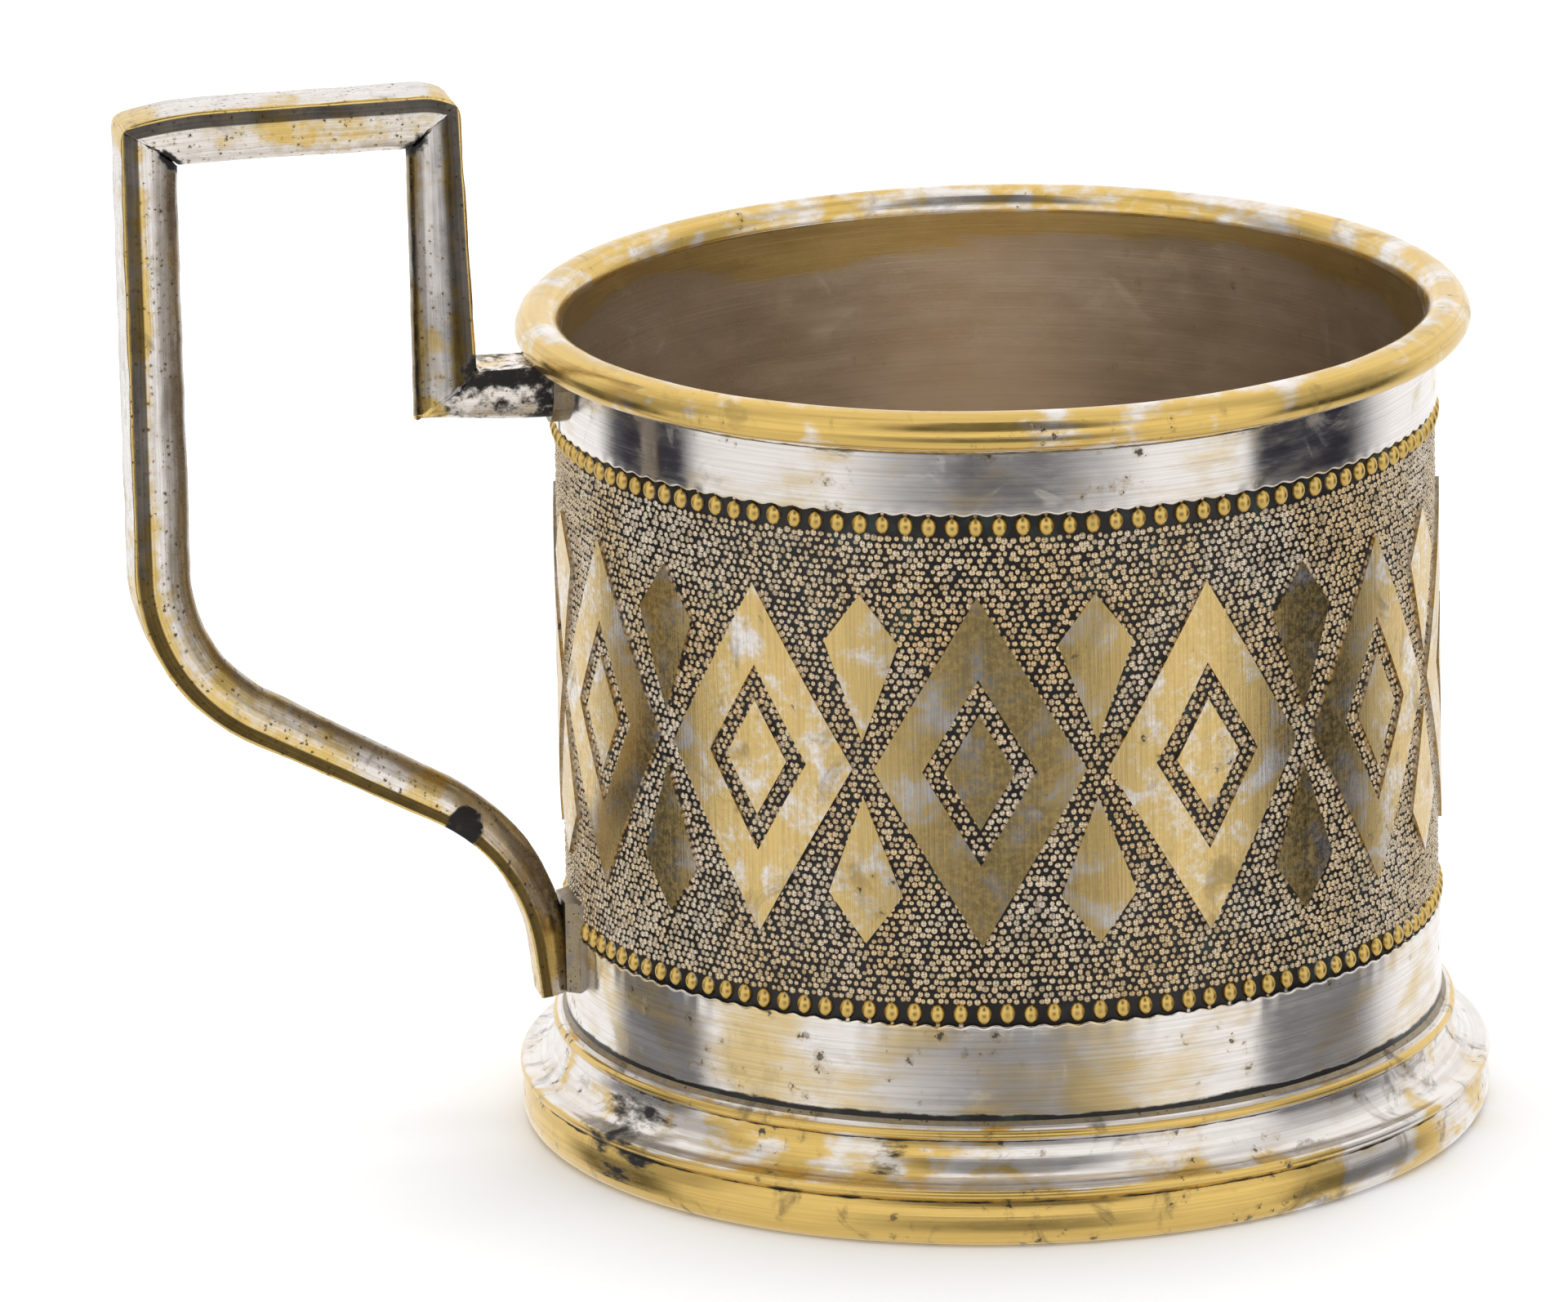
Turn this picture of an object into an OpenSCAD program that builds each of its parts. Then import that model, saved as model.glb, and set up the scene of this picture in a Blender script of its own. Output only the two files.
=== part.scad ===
// Tea glass holder: a rolled sleeve with a recessed relief band, closed by a rolled rim
// and a hollow foot ring, with an angular soldered handle.
// Origin: centre of the foot, on the surface it stands on. +Z is up, the handle points to -X.

/* [Sleeve] */
// Inside diameter of the sleeve, which takes the tea glass
bore_d = 70; // [64:0.5:78]
// Wall of the sleeve at its plain bands
wall = 1; // [0.8:0.1:1.6]
// Height of the plain band between the foot ring and the relief
lower_band_h = 8.2; // [5:0.1:14]
// Height of the relief band
relief_h = 42.1; // [34:0.5:60]
// Height of the plain band between the relief and the rim
upper_band_h = 5.3; // [4.9:0.1:9]
// How far the ground of the relief lies below the plain bands
ground_depth = 0.4; // [0.2:0.05:0.5]

/* [Rim] */
// Radius of the rolled top of the rim
rim_r = 1.9; // [1.7:0.1:2.4]
// Height of the rim below the centre of its rolled top
rim_skirt_h = 1.6; // [1.4:0.1:2.2]

/* [Foot] */
// Height of the foot ring
foot_h = 9.15; // [7.5:0.05:13]
// How far the foot stands out from the sleeve
foot_flare = 3.9; // [3.4:0.1:6]
// Height of the ridge round the foot
ridge_z = 4.4; // [3.6:0.1:5]
// Sheet thickness of the foot
foot_wall = 0.9; // [0.6:0.1:1]

/* [Glass seat] */
// Height of the seat's underside above the table
seat_z = 3; // [2:0.1:5]
// Thickness of the seat
seat_t = 1; // [0.8:0.1:2]
// Diameter of the opening in the seat
seat_hole_d = 44; // [20:1:56]

/* [Handle] */
// Distance of the handle's outer face from the sleeve's axis
handle_reach = 71.4; // [68:0.2:80]
// Height of the handle's top above the rim's
handle_rise = 20.5; // [14:0.5:30]
// Width of the handle bar
bar_w = 5.2; // [4.4:0.1:7]
// Depth of the handle bar, from its flat face to its round crown
bar_d = 4.85; // [4.2:0.05:5.6]
// Distance of the inner upright's flat face from the sleeve
stub_l = 7.05; // [5:0.05:10]
// Angle of the grip's lower reach below the level
grip_slope = 28; // [22:1:34]
// Bend radius below the grip
grip_bend_r = 16.8; // [13:0.1:20]
// Bend radius above the grip's tip
heel_bend_r = 15.5; // [12:0.1:18]
// Depth of the bar at its tip
tip_d = 3.05; // [3:0.05:3.6]
// Width of the bar at its tip
tip_w = 3.8; // [3:0.1:4.4]
// Height of the tip above the foot ring
tip_gap = 3.15; // [2:0.05:4]

/* [Relief] */
// Number of lozenges round the sleeve
lozenge_count = 12; // [10:1:16]
// How far the raised figures stand up from the ground
relief_t = 0.5; // [0.3:0.05:0.8]
// Width of the strap of a lozenge
strap_w = 3.4; // [2:0.1:4]
// Ground between a bead row and the raised figures
figure_margin = 4.9; // [3:0.1:6]
// Least ground between neighbouring figures
figure_gap = 1.5; // [0.8:0.1:2.2]
// Width of a bead
bead_w = 1.2; // [0.8:0.05:1.6]
// Height of a bead
bead_h = 1.65; // [1.65:0.05:2.2]
// Spacing of the beads along their row
bead_pitch = 1.86; // [1.7:0.02:2.6]

/* [Hidden] */
$fn = 180;
// Overrun of every cutting body
over = 1;

// Radii and levels of the body
bore_r = bore_d / 2;
sleeve_r = bore_r + wall;
ground_r = sleeve_r - ground_depth;
relief_r = ground_r + relief_t;
relief_z0 = foot_h + lower_band_h;
relief_z1 = relief_z0 + relief_h;
rim_low_z = relief_z1 + upper_band_h;
rim_z = rim_low_z + rim_skirt_h;
rim_top_z = rim_z + rim_r;
// The sleeve stands on the glass seat, and both stand in the foot ring's collar
sleeve_low_z = seat_z + seat_t;
collar_low_z = 1.2;

// Seam of the rolled strip: an outside groove at the handle, filled with solder
seam_depth_share = 0.6;
seam_depth = wall * seam_depth_share;
seam_w = 0.8;

// Rim: rounded outer corner, thin lip and the solder under it
rim_out_r = bore_r + 2 * rim_r;
rim_corner_r = 1;
rim_corner_turn = 70;
rim_lip_w = 0.65;
rim_lip_h = 0.3;
rim_solder_w = 0.25;

// Foot: convex band, neck, ridge, cove, lip and step, from the table up
foot_r = sleeve_r + foot_flare;
band_inset = 0.1;
band_bulge = 1.04;
band_neck_turn = 60;
band_crest_share = 0.44;
quirk_h = 0.3;
ridge_r = 0.45;
lip_r = 0.44;
lip_stand = 1.09;
step_w = 0.45;
step_h = 0.3;
foot_turn_in = 0.4;
foot_solder_w = 0.35;
foot_solder_h = 0.3;
seat_solder_w = 0.6;

// Handle levels and corners
handle_top = rim_top_z + handle_rise;
upright_x = sleeve_r + stub_l;
stub_lap = 0.95;
stub_top = rim_low_z + stub_lap;
side_share = 0.3;
corner_r = 1.1;
braze_t = 0.25;
stub_solder_w = 0.45;
stub_solder_l = 0.9;

// Outer face of the grip in side view, as distance from the axis and height
heel_turn = 83;
tip_l = 4;
tip_stand = 2.96;
tip_solder_w = 1;
tip_solder_t = 0.9;
tip_solder_h = 7.6;
tip_solder_lift = 0.4;
tip = [sleeve_r + tip_stand, foot_h + tip_gap];
heel = tip + tip_l * [cos(heel_turn), sin(heel_turn)];
slope_low = heel + heel_bend_r * [sin(heel_turn) - sin(grip_slope), cos(grip_slope) - cos(heel_turn)];
slope_run = handle_reach - grip_bend_r * (1 - sin(grip_slope)) - slope_low[0];
slope_top = slope_low + slope_run * [1, tan(grip_slope)];
bend_z = slope_top[1] + grip_bend_r * cos(grip_slope);
crown_steps = 14;
bend_steps = 12;

// Raised figures, measured from the middle of the relief band
figure_z = (relief_z0 + relief_z1) / 2;
bead_inset = 0.08;
figure_half_h = relief_h / 2 - bead_inset - bead_h - figure_margin;
lozenge_turn = 360 / lozenge_count;
unit_half_w = relief_r * sin(lozenge_turn / 2);
lozenge_half_w = unit_half_w - figure_gap / 2;
lozenge_inset = norm([lozenge_half_w, figure_half_h]) / (lozenge_half_w * figure_half_h);
inner_share = 1 - strap_w * lozenge_inset;
centre_share = inner_share - figure_gap * lozenge_inset;
dart_w_share = 0.36;
dart_foot_share = 0.16;
dart_shoulder_share = 0.72;

// Bead rows: half beads seated on the ground of the relief
bead_count = floor(2 * PI * ground_r / bead_pitch);
lower_bead_z = relief_z0 + bead_inset + bead_h / 2;
upper_bead_z = relief_z1 - bead_inset - bead_h / 2;

silver = [0.78, 0.76, 0.73];
brass = [0.80, 0.66, 0.30];
dull_brass = [0.62, 0.54, 0.34];
solder_grey = [0.50, 0.49, 0.48];

// Points on an ellipse about c with half axes a and b, from angle t0 to angle t1
function curve(c, a, b, t0, t1, n) =
    [for (i = [0 : n]) let (t = t0 + (t1 - t0) * i / n) c + [a * cos(t), b * sin(t)]];

// Section of the handle bar: place across it, and depth from its flat face
function bar_section(w, d) = concat(
    [[w / 2, 0]],
    curve([0, d * side_share], w / 2, d * (1 - side_share), 0, 180, crown_steps),
    [[-w / 2, 0]]
);

// Wall of the sleeve before its seam is cut
module sleeve_wall() {
    rotate_extrude()
        polygon([
            [bore_r, sleeve_low_z], [sleeve_r, sleeve_low_z],
            [sleeve_r, relief_z0], [ground_r, relief_z0],
            [ground_r, relief_z1], [sleeve_r, relief_z1],
            [sleeve_r, rim_z], [bore_r, rim_z]
        ]);
}

// Wedge along the seam
module seam_wedge() {
    half_w = seam_w / 2 * (seam_depth + over) / seam_depth;
    linear_extrude(rim_top_z)
        polygon([
            [seam_depth - sleeve_r, 0], [-sleeve_r - over, half_w], [-sleeve_r - over, -half_w]
        ]);
}

module sleeve() {
    color(silver)
        difference() {
            sleeve_wall();
            seam_wedge();
        }
}

module seam_solder() {
    color(solder_grey)
        intersection() {
            sleeve_wall();
            seam_wedge();
        }
}

module rim_body() {
    corner = [rim_out_r - rim_corner_r, rim_z];
    rotate_extrude()
        polygon(concat(
            curve([bore_r + rim_r, rim_z], rim_r, rim_r, 180, 0, 24),
            curve(corner, rim_corner_r, rim_corner_r, -10, -rim_corner_turn, 6),
            [
                [sleeve_r + rim_lip_w, rim_low_z + rim_lip_h],
                [sleeve_r + rim_lip_w, rim_low_z],
                [sleeve_r, rim_low_z], [sleeve_r, rim_z]
            ]
        ));
}

module rim_ring() {
    color(brass)
        rim_body();
}

module rim_fillet() {
    rotate_extrude()
        polygon([
            [sleeve_r, rim_low_z], [sleeve_r + rim_solder_w, rim_low_z],
            [sleeve_r, rim_low_z - rim_solder_w]
        ]);
}

module rim_solder() {
    color(solder_grey)
        rim_fillet();
}

module foot_ring() {
    band = [foot_r - band_inset - band_bulge, (ridge_z - ridge_r - quirk_h) * band_crest_share];
    neck_z = ridge_z - ridge_r - quirk_h;
    band_h = (neck_z - band[1]) / sin(band_neck_turn);
    ridge = [foot_r - ridge_r, ridge_z];
    lip = [sleeve_r + lip_stand - lip_r, foot_h - step_h - lip_r];
    cove = [ridge[0], lip[1] - lip_r];
    hollow_r = band[0] + band_bulge * cos(band_neck_turn) - foot_wall;
    color(brass)
        rotate_extrude()
            polygon(concat(
                curve(band, band_bulge, band[1], -90, 0, 8),
                curve(band, band_bulge, band_h, 10, band_neck_turn, 6),
                curve(ridge, ridge_r, ridge_r, -60, 90, 10),
                curve(cove, lip[0] - cove[0], ridge_z + ridge_r - cove[1], 84, 0, 14),
                curve(lip, lip_r, lip_r, -80, 90, 10),
                [
                    [sleeve_r + step_w, foot_h - step_h], [sleeve_r + step_w, foot_h],
                    [sleeve_r, foot_h], [sleeve_r, collar_low_z],
                    [sleeve_r + foot_wall, collar_low_z],
                    [sleeve_r + foot_wall, ridge_z - ridge_r],
                    [hollow_r, ridge_z - ridge_r], [hollow_r, foot_wall],
                    [hollow_r - foot_turn_in, foot_wall], [hollow_r - foot_turn_in, 0]
                ]
            ));
}

module foot_solder() {
    color(solder_grey)
        rotate_extrude()
            polygon([
                [sleeve_r, foot_h], [sleeve_r + foot_solder_w, foot_h],
                [sleeve_r, foot_h + foot_solder_h]
            ]);
}

module glass_seat() {
    color(silver)
        rotate_extrude()
            translate([seat_hole_d / 2, seat_z])
                square([sleeve_r - seat_hole_d / 2, seat_t]);
}

module seat_solder() {
    color(solder_grey)
        rotate_extrude()
            polygon([
                [sleeve_r, seat_z], [sleeve_r - seat_solder_w, seat_z],
                [sleeve_r, seat_z - seat_solder_w]
            ]);
}

// A plate standing in the handle's plane, drawn as distance from the axis and height
module side_plate(points) {
    rotate([90, 0, 0])
        linear_extrude(2 * bar_w, center = true)
            polygon([for (p = points) [-p[0], p[1]]]);
}

// Rings of the grip's bar: distance from the axis, height, angle below the level
grip_path = concat(
    [[handle_reach, handle_top + over, 90]],
    [for (i = [0 : bend_steps]) let (t = 90 - (90 - grip_slope) * i / bend_steps)
        [handle_reach - grip_bend_r * (1 - sin(t)), bend_z - grip_bend_r * cos(t), t]],
    [for (i = [0 : bend_steps]) let (t = grip_slope + (heel_turn - grip_slope) * i / bend_steps)
        [heel[0] + heel_bend_r * (sin(heel_turn) - sin(t)),
         heel[1] + heel_bend_r * (cos(t) - cos(heel_turn)), t]],
    [[tip[0], tip[1], heel_turn]]
);

// Length of the grip's path up to ring k
function path_length(k) =
    k == 0 ? 0 : path_length(k - 1)
        + norm([grip_path[k][0] - grip_path[k - 1][0], grip_path[k][1] - grip_path[k - 1][1]]);

// How far the bar has narrowed at ring k, from 0 above the bend to 1 at the heel
function taper(k) =
    min(1, max(0, (path_length(k) - path_length(1)) / (path_length(2 * bend_steps + 2) - path_length(1))));

module grip_bar() {
    rings = [
        for (k = [0 : len(grip_path) - 1])
            let (s = grip_path[k], m = taper(k))
            let (w = bar_w + (tip_w - bar_w) * m, d = bar_d + (tip_d - bar_d) * m)
            [for (p = bar_section(w, d)) [p[1] * sin(s[2]) - s[0], p[0], s[1] + p[1] * cos(s[2])]]
    ];
    n = len(rings[0]);
    last = len(rings) - 1;
    polyhedron(
        points = [for (ring = rings) each ring],
        faces = concat(
            [[for (j = [0 : n - 1]) j]],
            [for (k = [0 : last - 1], j = [0 : n - 1]) each [
                [k * n + j, (k + 1) * n + j, k * n + (j + 1) % n],
                [k * n + (j + 1) % n, (k + 1) * n + j, (k + 1) * n + (j + 1) % n]
            ]],
            [[for (j = [n - 1 : -1 : 0]) last * n + j]]
        )
    );
}

// Corners of the handle in side view, and the sideways shift of a mitred face from its diagonal
mitre_shift = braze_t / sqrt(2);
grip_corner = [handle_reach - corner_r, handle_top - corner_r];
top_corner = [upright_x + corner_r, handle_top - corner_r];
corner_mid = corner_r * sin(45);
crown_z = handle_top - bar_d - over;
crown_x = handle_reach - bar_d - over;
back_x = upright_x + bar_d + over;

module handle_grip() {
    color(silver)
        difference() {
            intersection() {
                grip_bar();
                side_plate(concat(
                    [[crown_x, crown_z - mitre_shift]],
                    [grip_corner + [corner_mid, corner_mid - mitre_shift]],
                    curve(grip_corner, corner_r, corner_r, 36, 0, 4),
                    [
                        [handle_reach + over, grip_corner[1]], [handle_reach + over, 0],
                        [bore_r, 0], [bore_r, crown_z - mitre_shift]
                    ]
                ));
            }
            cylinder(r = sleeve_r, h = rim_top_z);
            tip_wedge();
        }
}

// A straight stretch of the bar lying along X, its flat face up at top_z
module level_bar(far, near, top_z, w, d) {
    translate([-far, 0, 0])
        rotate([90, 0, 90])
            linear_extrude(far - near)
                polygon([for (p = bar_section(w, d)) [p[0], top_z - p[1]]]);
}

module top_prism() {
    level_bar(handle_reach + over, upright_x - over, handle_top, bar_w, bar_d);
}

module stub_prism() {
    level_bar(back_x, bore_r + wall / 2, stub_top, bar_w, bar_d);
}

// The inner upright stands with its flat face towards the sleeve
module upright_prism() {
    translate([0, 0, stub_top - bar_d - over])
        linear_extrude(handle_top - stub_top + bar_d + 2 * over)
            polygon([for (p = bar_section(bar_w, bar_d)) [-upright_x - p[1], p[0]]]);
}

module handle_top_bar() {
    color(silver)
        intersection() {
            top_prism();
            side_plate(concat(
                [[crown_x - mitre_shift, crown_z]],
                [grip_corner + [corner_mid - mitre_shift, corner_mid]],
                curve(grip_corner, corner_r, corner_r, 54, 90, 4),
                [[grip_corner[0], handle_top + over], [top_corner[0], handle_top + over]],
                curve(top_corner, corner_r, corner_r, 90, 126, 4),
                [top_corner + [mitre_shift - corner_mid, corner_mid]],
                [[back_x + mitre_shift, crown_z]]
            ));
        }
}

module handle_upright() {
    color(silver)
        intersection() {
            upright_prism();
            side_plate(concat(
                [[back_x, crown_z - mitre_shift]],
                [top_corner + [-corner_mid, corner_mid - mitre_shift]],
                curve(top_corner, corner_r, corner_r, 144, 180, 4),
                [
                    [upright_x - over, top_corner[1]],
                    [upright_x - over, stub_top + over + mitre_shift],
                    [back_x, stub_top - bar_d - over + mitre_shift]
                ]
            ));
        }
}

module stub_bar() {
    intersection() {
        stub_prism();
        side_plate([
            [back_x, stub_top - bar_d - over - mitre_shift],
            [upright_x - over, stub_top + over - mitre_shift],
            [bore_r, stub_top + over], [bore_r, stub_top - bar_d - over - mitre_shift]
        ]);
    }
}

module handle_stub() {
    color(dull_brass)
        difference() {
            stub_bar();
            sleeve_wall();
            rim_body();
            rim_fillet();
        }
}

module grip_corner_braze() {
    color(solder_grey)
        intersection() {
            top_prism();
            side_plate([
                [crown_x - mitre_shift, crown_z],
                grip_corner + [corner_mid - mitre_shift, corner_mid],
                grip_corner + [corner_mid, corner_mid - mitre_shift],
                [crown_x, crown_z - mitre_shift]
            ]);
        }
}

module top_corner_braze() {
    color(solder_grey)
        intersection() {
            top_prism();
            side_plate([
                [back_x + mitre_shift, crown_z],
                top_corner + [mitre_shift - corner_mid, corner_mid],
                top_corner + [-corner_mid, corner_mid - mitre_shift],
                [back_x, crown_z - mitre_shift]
            ]);
        }
}

module stub_corner_braze() {
    low_z = stub_top - bar_d - over;
    color(solder_grey)
        intersection() {
            upright_prism();
            side_plate([
                [back_x, low_z - mitre_shift], [upright_x - over, stub_top + over - mitre_shift],
                [upright_x - over, stub_top + over + mitre_shift], [back_x, low_z + mitre_shift]
            ]);
        }
}

// A collar round the stub's end, below the rim
module stub_solder() {
    top_z = rim_low_z - rim_solder_w;
    color(solder_grey)
        difference() {
            level_bar(
                sleeve_r + stub_solder_l, bore_r + wall / 2, stub_top + stub_solder_w,
                bar_w + 2 * stub_solder_w, bar_d + 2 * stub_solder_w
            );
            level_bar(back_x, bore_r, stub_top, bar_w, bar_d);
            sleeve_wall();
            translate([-back_x, -bar_w, top_z])
                cube([back_x, 2 * bar_w, handle_top - top_z]);
        }
}

// Wedge of solder between the grip's tip and the sleeve
module tip_wedge() {
    root_x = -bore_r - wall / 2;
    edge_x = -sleeve_r - tip_solder_t;
    translate([0, 0, tip[1] + tip_solder_lift])
        linear_extrude(tip_solder_h)
            polygon([
                [root_x, tip_w / 2 + tip_solder_w], [edge_x, tip_w / 2],
                [edge_x, -tip_w / 2], [root_x, -tip_w / 2 - tip_solder_w]
            ]);
}

module tip_solder() {
    color(solder_grey)
        difference() {
            tip_wedge();
            sleeve_wall();
        }
}

// Half of a bead, its flat back standing on the plane x = 0
module half_bead() {
    rotate([0, 0, -90])
        rotate_extrude(angle = 180, $fn = 24)
            polygon(curve([0, 0], bead_w / 2, bead_h / 2, -90, 90, 6));
}

// A row of beads that leaves out those within gap_turn of the handle
module bead_row(z, gap_turn) {
    for (i = [0 : bead_count - 1])
        let (turn = 360 * i / bead_count)
            if (abs(turn - 180) >= gap_turn)
                rotate(turn)
                    translate([ground_r, 0, z])
                        half_bead();
}

module upper_bead_row() {
    color(brass)
        bead_row(upper_bead_z, 0);
}

// The lower row stops on either side of the grip's tip
module lower_bead_row() {
    color(brass)
        bead_row(lower_bead_z, asin((tip_w / 2 + tip_solder_w + bead_w / 2) / ground_r));
}

// Flat figures raised on the ground, one to each step round the sleeve
module raised(first_turn) {
    start_r = ground_r * cos(lozenge_turn / 2) - over;
    intersection() {
        translate([0, 0, relief_z0])
            difference() {
                cylinder(r = relief_r, h = relief_h);
                translate([0, 0, -over])
                    cylinder(r = ground_r, h = relief_h + 2 * over);
            }
        for (i = [0 : lozenge_count - 1])
            rotate(180 + first_turn + lozenge_turn * i)
                translate([start_r, 0, figure_z])
                    rotate([90, 0, 90])
                        linear_extrude(relief_r + over - start_r)
                            children();
    }
}

module lozenge(share) {
    polygon([
        [lozenge_half_w * share, 0], [0, figure_half_h * share],
        [-lozenge_half_w * share, 0], [0, -figure_half_h * share]
    ]);
}

module lozenge_frames() {
    color(dull_brass)
        raised(lozenge_turn / 2)
            difference() {
                lozenge(1);
                lozenge(inner_share);
            }
}

module lozenge_centres() {
    color(brass)
        raised(lozenge_turn / 2)
            lozenge(centre_share);
}

module darts() {
    half_w = lozenge_half_w * dart_w_share;
    color(dull_brass)
        raised(0)
            for (side = [-1, 1])
                polygon([
                    [0, side * figure_half_h * dart_foot_share],
                    [half_w, side * figure_half_h * dart_shoulder_share],
                    [0, side * figure_half_h],
                    [-half_w, side * figure_half_h * dart_shoulder_share]
                ]);
}

sleeve();
seam_solder();
rim_ring();
rim_solder();
foot_ring();
foot_solder();
glass_seat();
seat_solder();
handle_grip();
handle_top_bar();
handle_upright();
handle_stub();
grip_corner_braze();
top_corner_braze();
stub_corner_braze();
stub_solder();
tip_solder();
upper_bead_row();
lower_bead_row();
lozenge_frames();
lozenge_centres();
darts();
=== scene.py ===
import math
import random

import bmesh
import bpy
import numpy as np
from bpy.props import FloatProperty, FloatVectorProperty, IntProperty, PointerProperty
from mathutils import Matrix, Vector, noise


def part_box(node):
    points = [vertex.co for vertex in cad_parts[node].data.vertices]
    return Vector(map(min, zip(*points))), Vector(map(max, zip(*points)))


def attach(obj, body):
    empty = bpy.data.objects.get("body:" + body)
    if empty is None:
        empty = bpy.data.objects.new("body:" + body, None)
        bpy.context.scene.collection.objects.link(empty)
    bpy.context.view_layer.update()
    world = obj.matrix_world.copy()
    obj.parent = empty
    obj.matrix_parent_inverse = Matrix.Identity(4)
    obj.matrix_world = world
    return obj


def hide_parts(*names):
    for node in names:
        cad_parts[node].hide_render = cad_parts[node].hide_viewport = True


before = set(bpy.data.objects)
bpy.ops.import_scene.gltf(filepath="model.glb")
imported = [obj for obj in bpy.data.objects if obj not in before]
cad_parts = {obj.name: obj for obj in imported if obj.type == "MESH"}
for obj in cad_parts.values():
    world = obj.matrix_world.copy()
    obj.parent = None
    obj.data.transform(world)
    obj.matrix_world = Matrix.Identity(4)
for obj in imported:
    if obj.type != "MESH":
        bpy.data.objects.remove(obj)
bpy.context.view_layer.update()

bl_info = {
    "name": "Tea Glass Holder",
    "version": (1, 0, 0),
    "blender": (4, 5, 0),
    "location": "View3D > Sidebar > Tea Glass Holder",
    "description": "Models a soldered tea glass holder with a pebbled relief, piece by piece",
    "category": "Add Mesh",
}

MM = 0.001
MERGE = 0.001 * MM
TURN_STEPS = 360  # of a spun ring
RING_STEP = 0.45 * MM  # along a bar
BEAD_SEED, PEBBLE_SEED = 11, 5
JITTER = 0.21  # of a pebble's place, as a share of the pitch
MARGIN = 0.25 * MM  # between the pebbles and the beads
SUNK = 0.05 * MM  # of a raised figure below the ground
SLEEVE_LOW, SLEEVE_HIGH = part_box("sleeve")
RIM_LOW, RIM_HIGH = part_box("rim_ring")
FOOT_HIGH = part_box("foot_ring")[1]
GRIP_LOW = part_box("handle_grip")[0]
TOP_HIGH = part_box("handle_top_bar")[1]
UPRIGHT_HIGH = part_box("handle_upright")[1]
STUB_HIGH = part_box("handle_stub")[1]
BEADS_LOW, BEADS_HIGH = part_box("upper_bead_row")
LOWER_BEADS_LOW, LOWER_BEADS_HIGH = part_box("lower_bead_row")
FIGURES_LOW, FIGURES_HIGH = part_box("lozenge_frames")


def length(name, description, millimetres):
    return FloatProperty(
        name=name, description=description, default=millimetres * MM, subtype="DISTANCE", precision=5
    )


def angle(name, description, degrees):
    return FloatProperty(name=name, description=description, default=math.radians(degrees), subtype="ANGLE")


def linear(code):
    """An sRGB hex colour as linear red, green and blue."""
    parts = [int(code[i:i + 2], 16) / 255 for i in (1, 3, 5)]
    return [c / 12.92 if c <= 0.04045 else ((c + 0.055) / 1.055) ** 2.4 for c in parts]


def colour(name, description, code):
    return FloatVectorProperty(
        name=name, description=description, default=linear(code), size=3, subtype="COLOR", min=0, max=1
    )


class HOLDER_body_sizes(bpy.types.PropertyGroup):
    """Sleeve, rim and foot."""
    bore_r: length("Bore radius", "Inside radius of the sleeve", 35)
    ground_depth: length("Ground depth", "How far the relief's ground lies below the plain bands", 0.4)
    relief_low: length("Relief low", "Level of the relief's lower edge", 17.35)
    relief_high: length("Relief high", "Level of the relief's upper edge", 59.45)
    edge_roll: length("Edge roll", "Rounding of a plain band's edge", 0.22)
    edge_wave: length("Edge wave", "How far each bead pushes a plain band's edge", 0.11)
    rim_r: length("Rim radius", "Radius of the rim's rolled top", 1.9)
    rim_corner_r: length("Rim corner", "Rounding of the rim's outer corner", 1)
    rim_lip_w: length("Rim lip", "Width of the lip under the rim", 0.65)
    rim_lip_h: length("Rim lip height", "Height of the lip under the rim", 0.3)
    ridge_z: length("Ridge level", "Level of the ridge round the foot", 4.4)
    ridge_r: length("Ridge radius", "Rounding of the ridge", 0.45)
    quirk_h: length("Quirk", "Height of the groove under the ridge", 0.3)
    band_bulge: length("Foot bulge", "How far the foot's lower band swells", 1.04)
    band_inset: length("Foot inset", "How far the lower band stays inside the ridge", 0.1)
    foot_lip_r: length("Foot lip", "Rounding of the lip above the cove", 0.44)
    foot_lip_stand: length("Lip stand", "How far that lip stands out from the sleeve", 1.09)
    step_w: length("Step width", "Width of the step above the lip", 0.45)
    step_h: length("Step height", "Height of the step above the lip", 0.3)
    collar_low: length("Collar low", "Level of the foot collar's lower edge", 1.2)
    foot_wall: length("Foot wall", "Sheet thickness of the foot", 0.9)
    foot_turn_in: length("Foot turn-in", "Width of the foot's turned-in edge", 0.4)
    gold_side: angle("Bare side", "Side where the foot has lost most plate", -130)


class HOLDER_relief_sizes(bpy.types.PropertyGroup):
    """Beads, pebbles and raised figures."""
    bead_count: IntProperty(name="Beads", description="Places for beads round the sleeve", default=120)
    bead_w: length("Bead width", "Width of a bead", 1.3)
    bead_h: length("Bead height", "Height of a bead", 1.7)
    bead_depth: length("Bead depth", "How far a bead stands up from the ground", 0.64)
    pebble_pitch: length("Pebble pitch", "Spacing of the pebbles", 0.62)
    pebble_w: length("Pebble width", "Mean width of a pebble", 0.63)
    pebble_h: length("Pebble height", "Mean height of a pebble", 0.24)
    figure_count: IntProperty(name="Lozenges", description="Lozenges round the sleeve", default=12)
    figure_t: length("Figure height", "How far the figures stand up from the ground", 0.5)
    figure_gap: length("Figure gap", "Least ground between two figures", 1.5)
    strap_w: length("Strap width", "Width of a lozenge's strap", 3.4)
    figure_edge: length("Figure edge", "Rounding of a figure's edges", 0.2)


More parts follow.
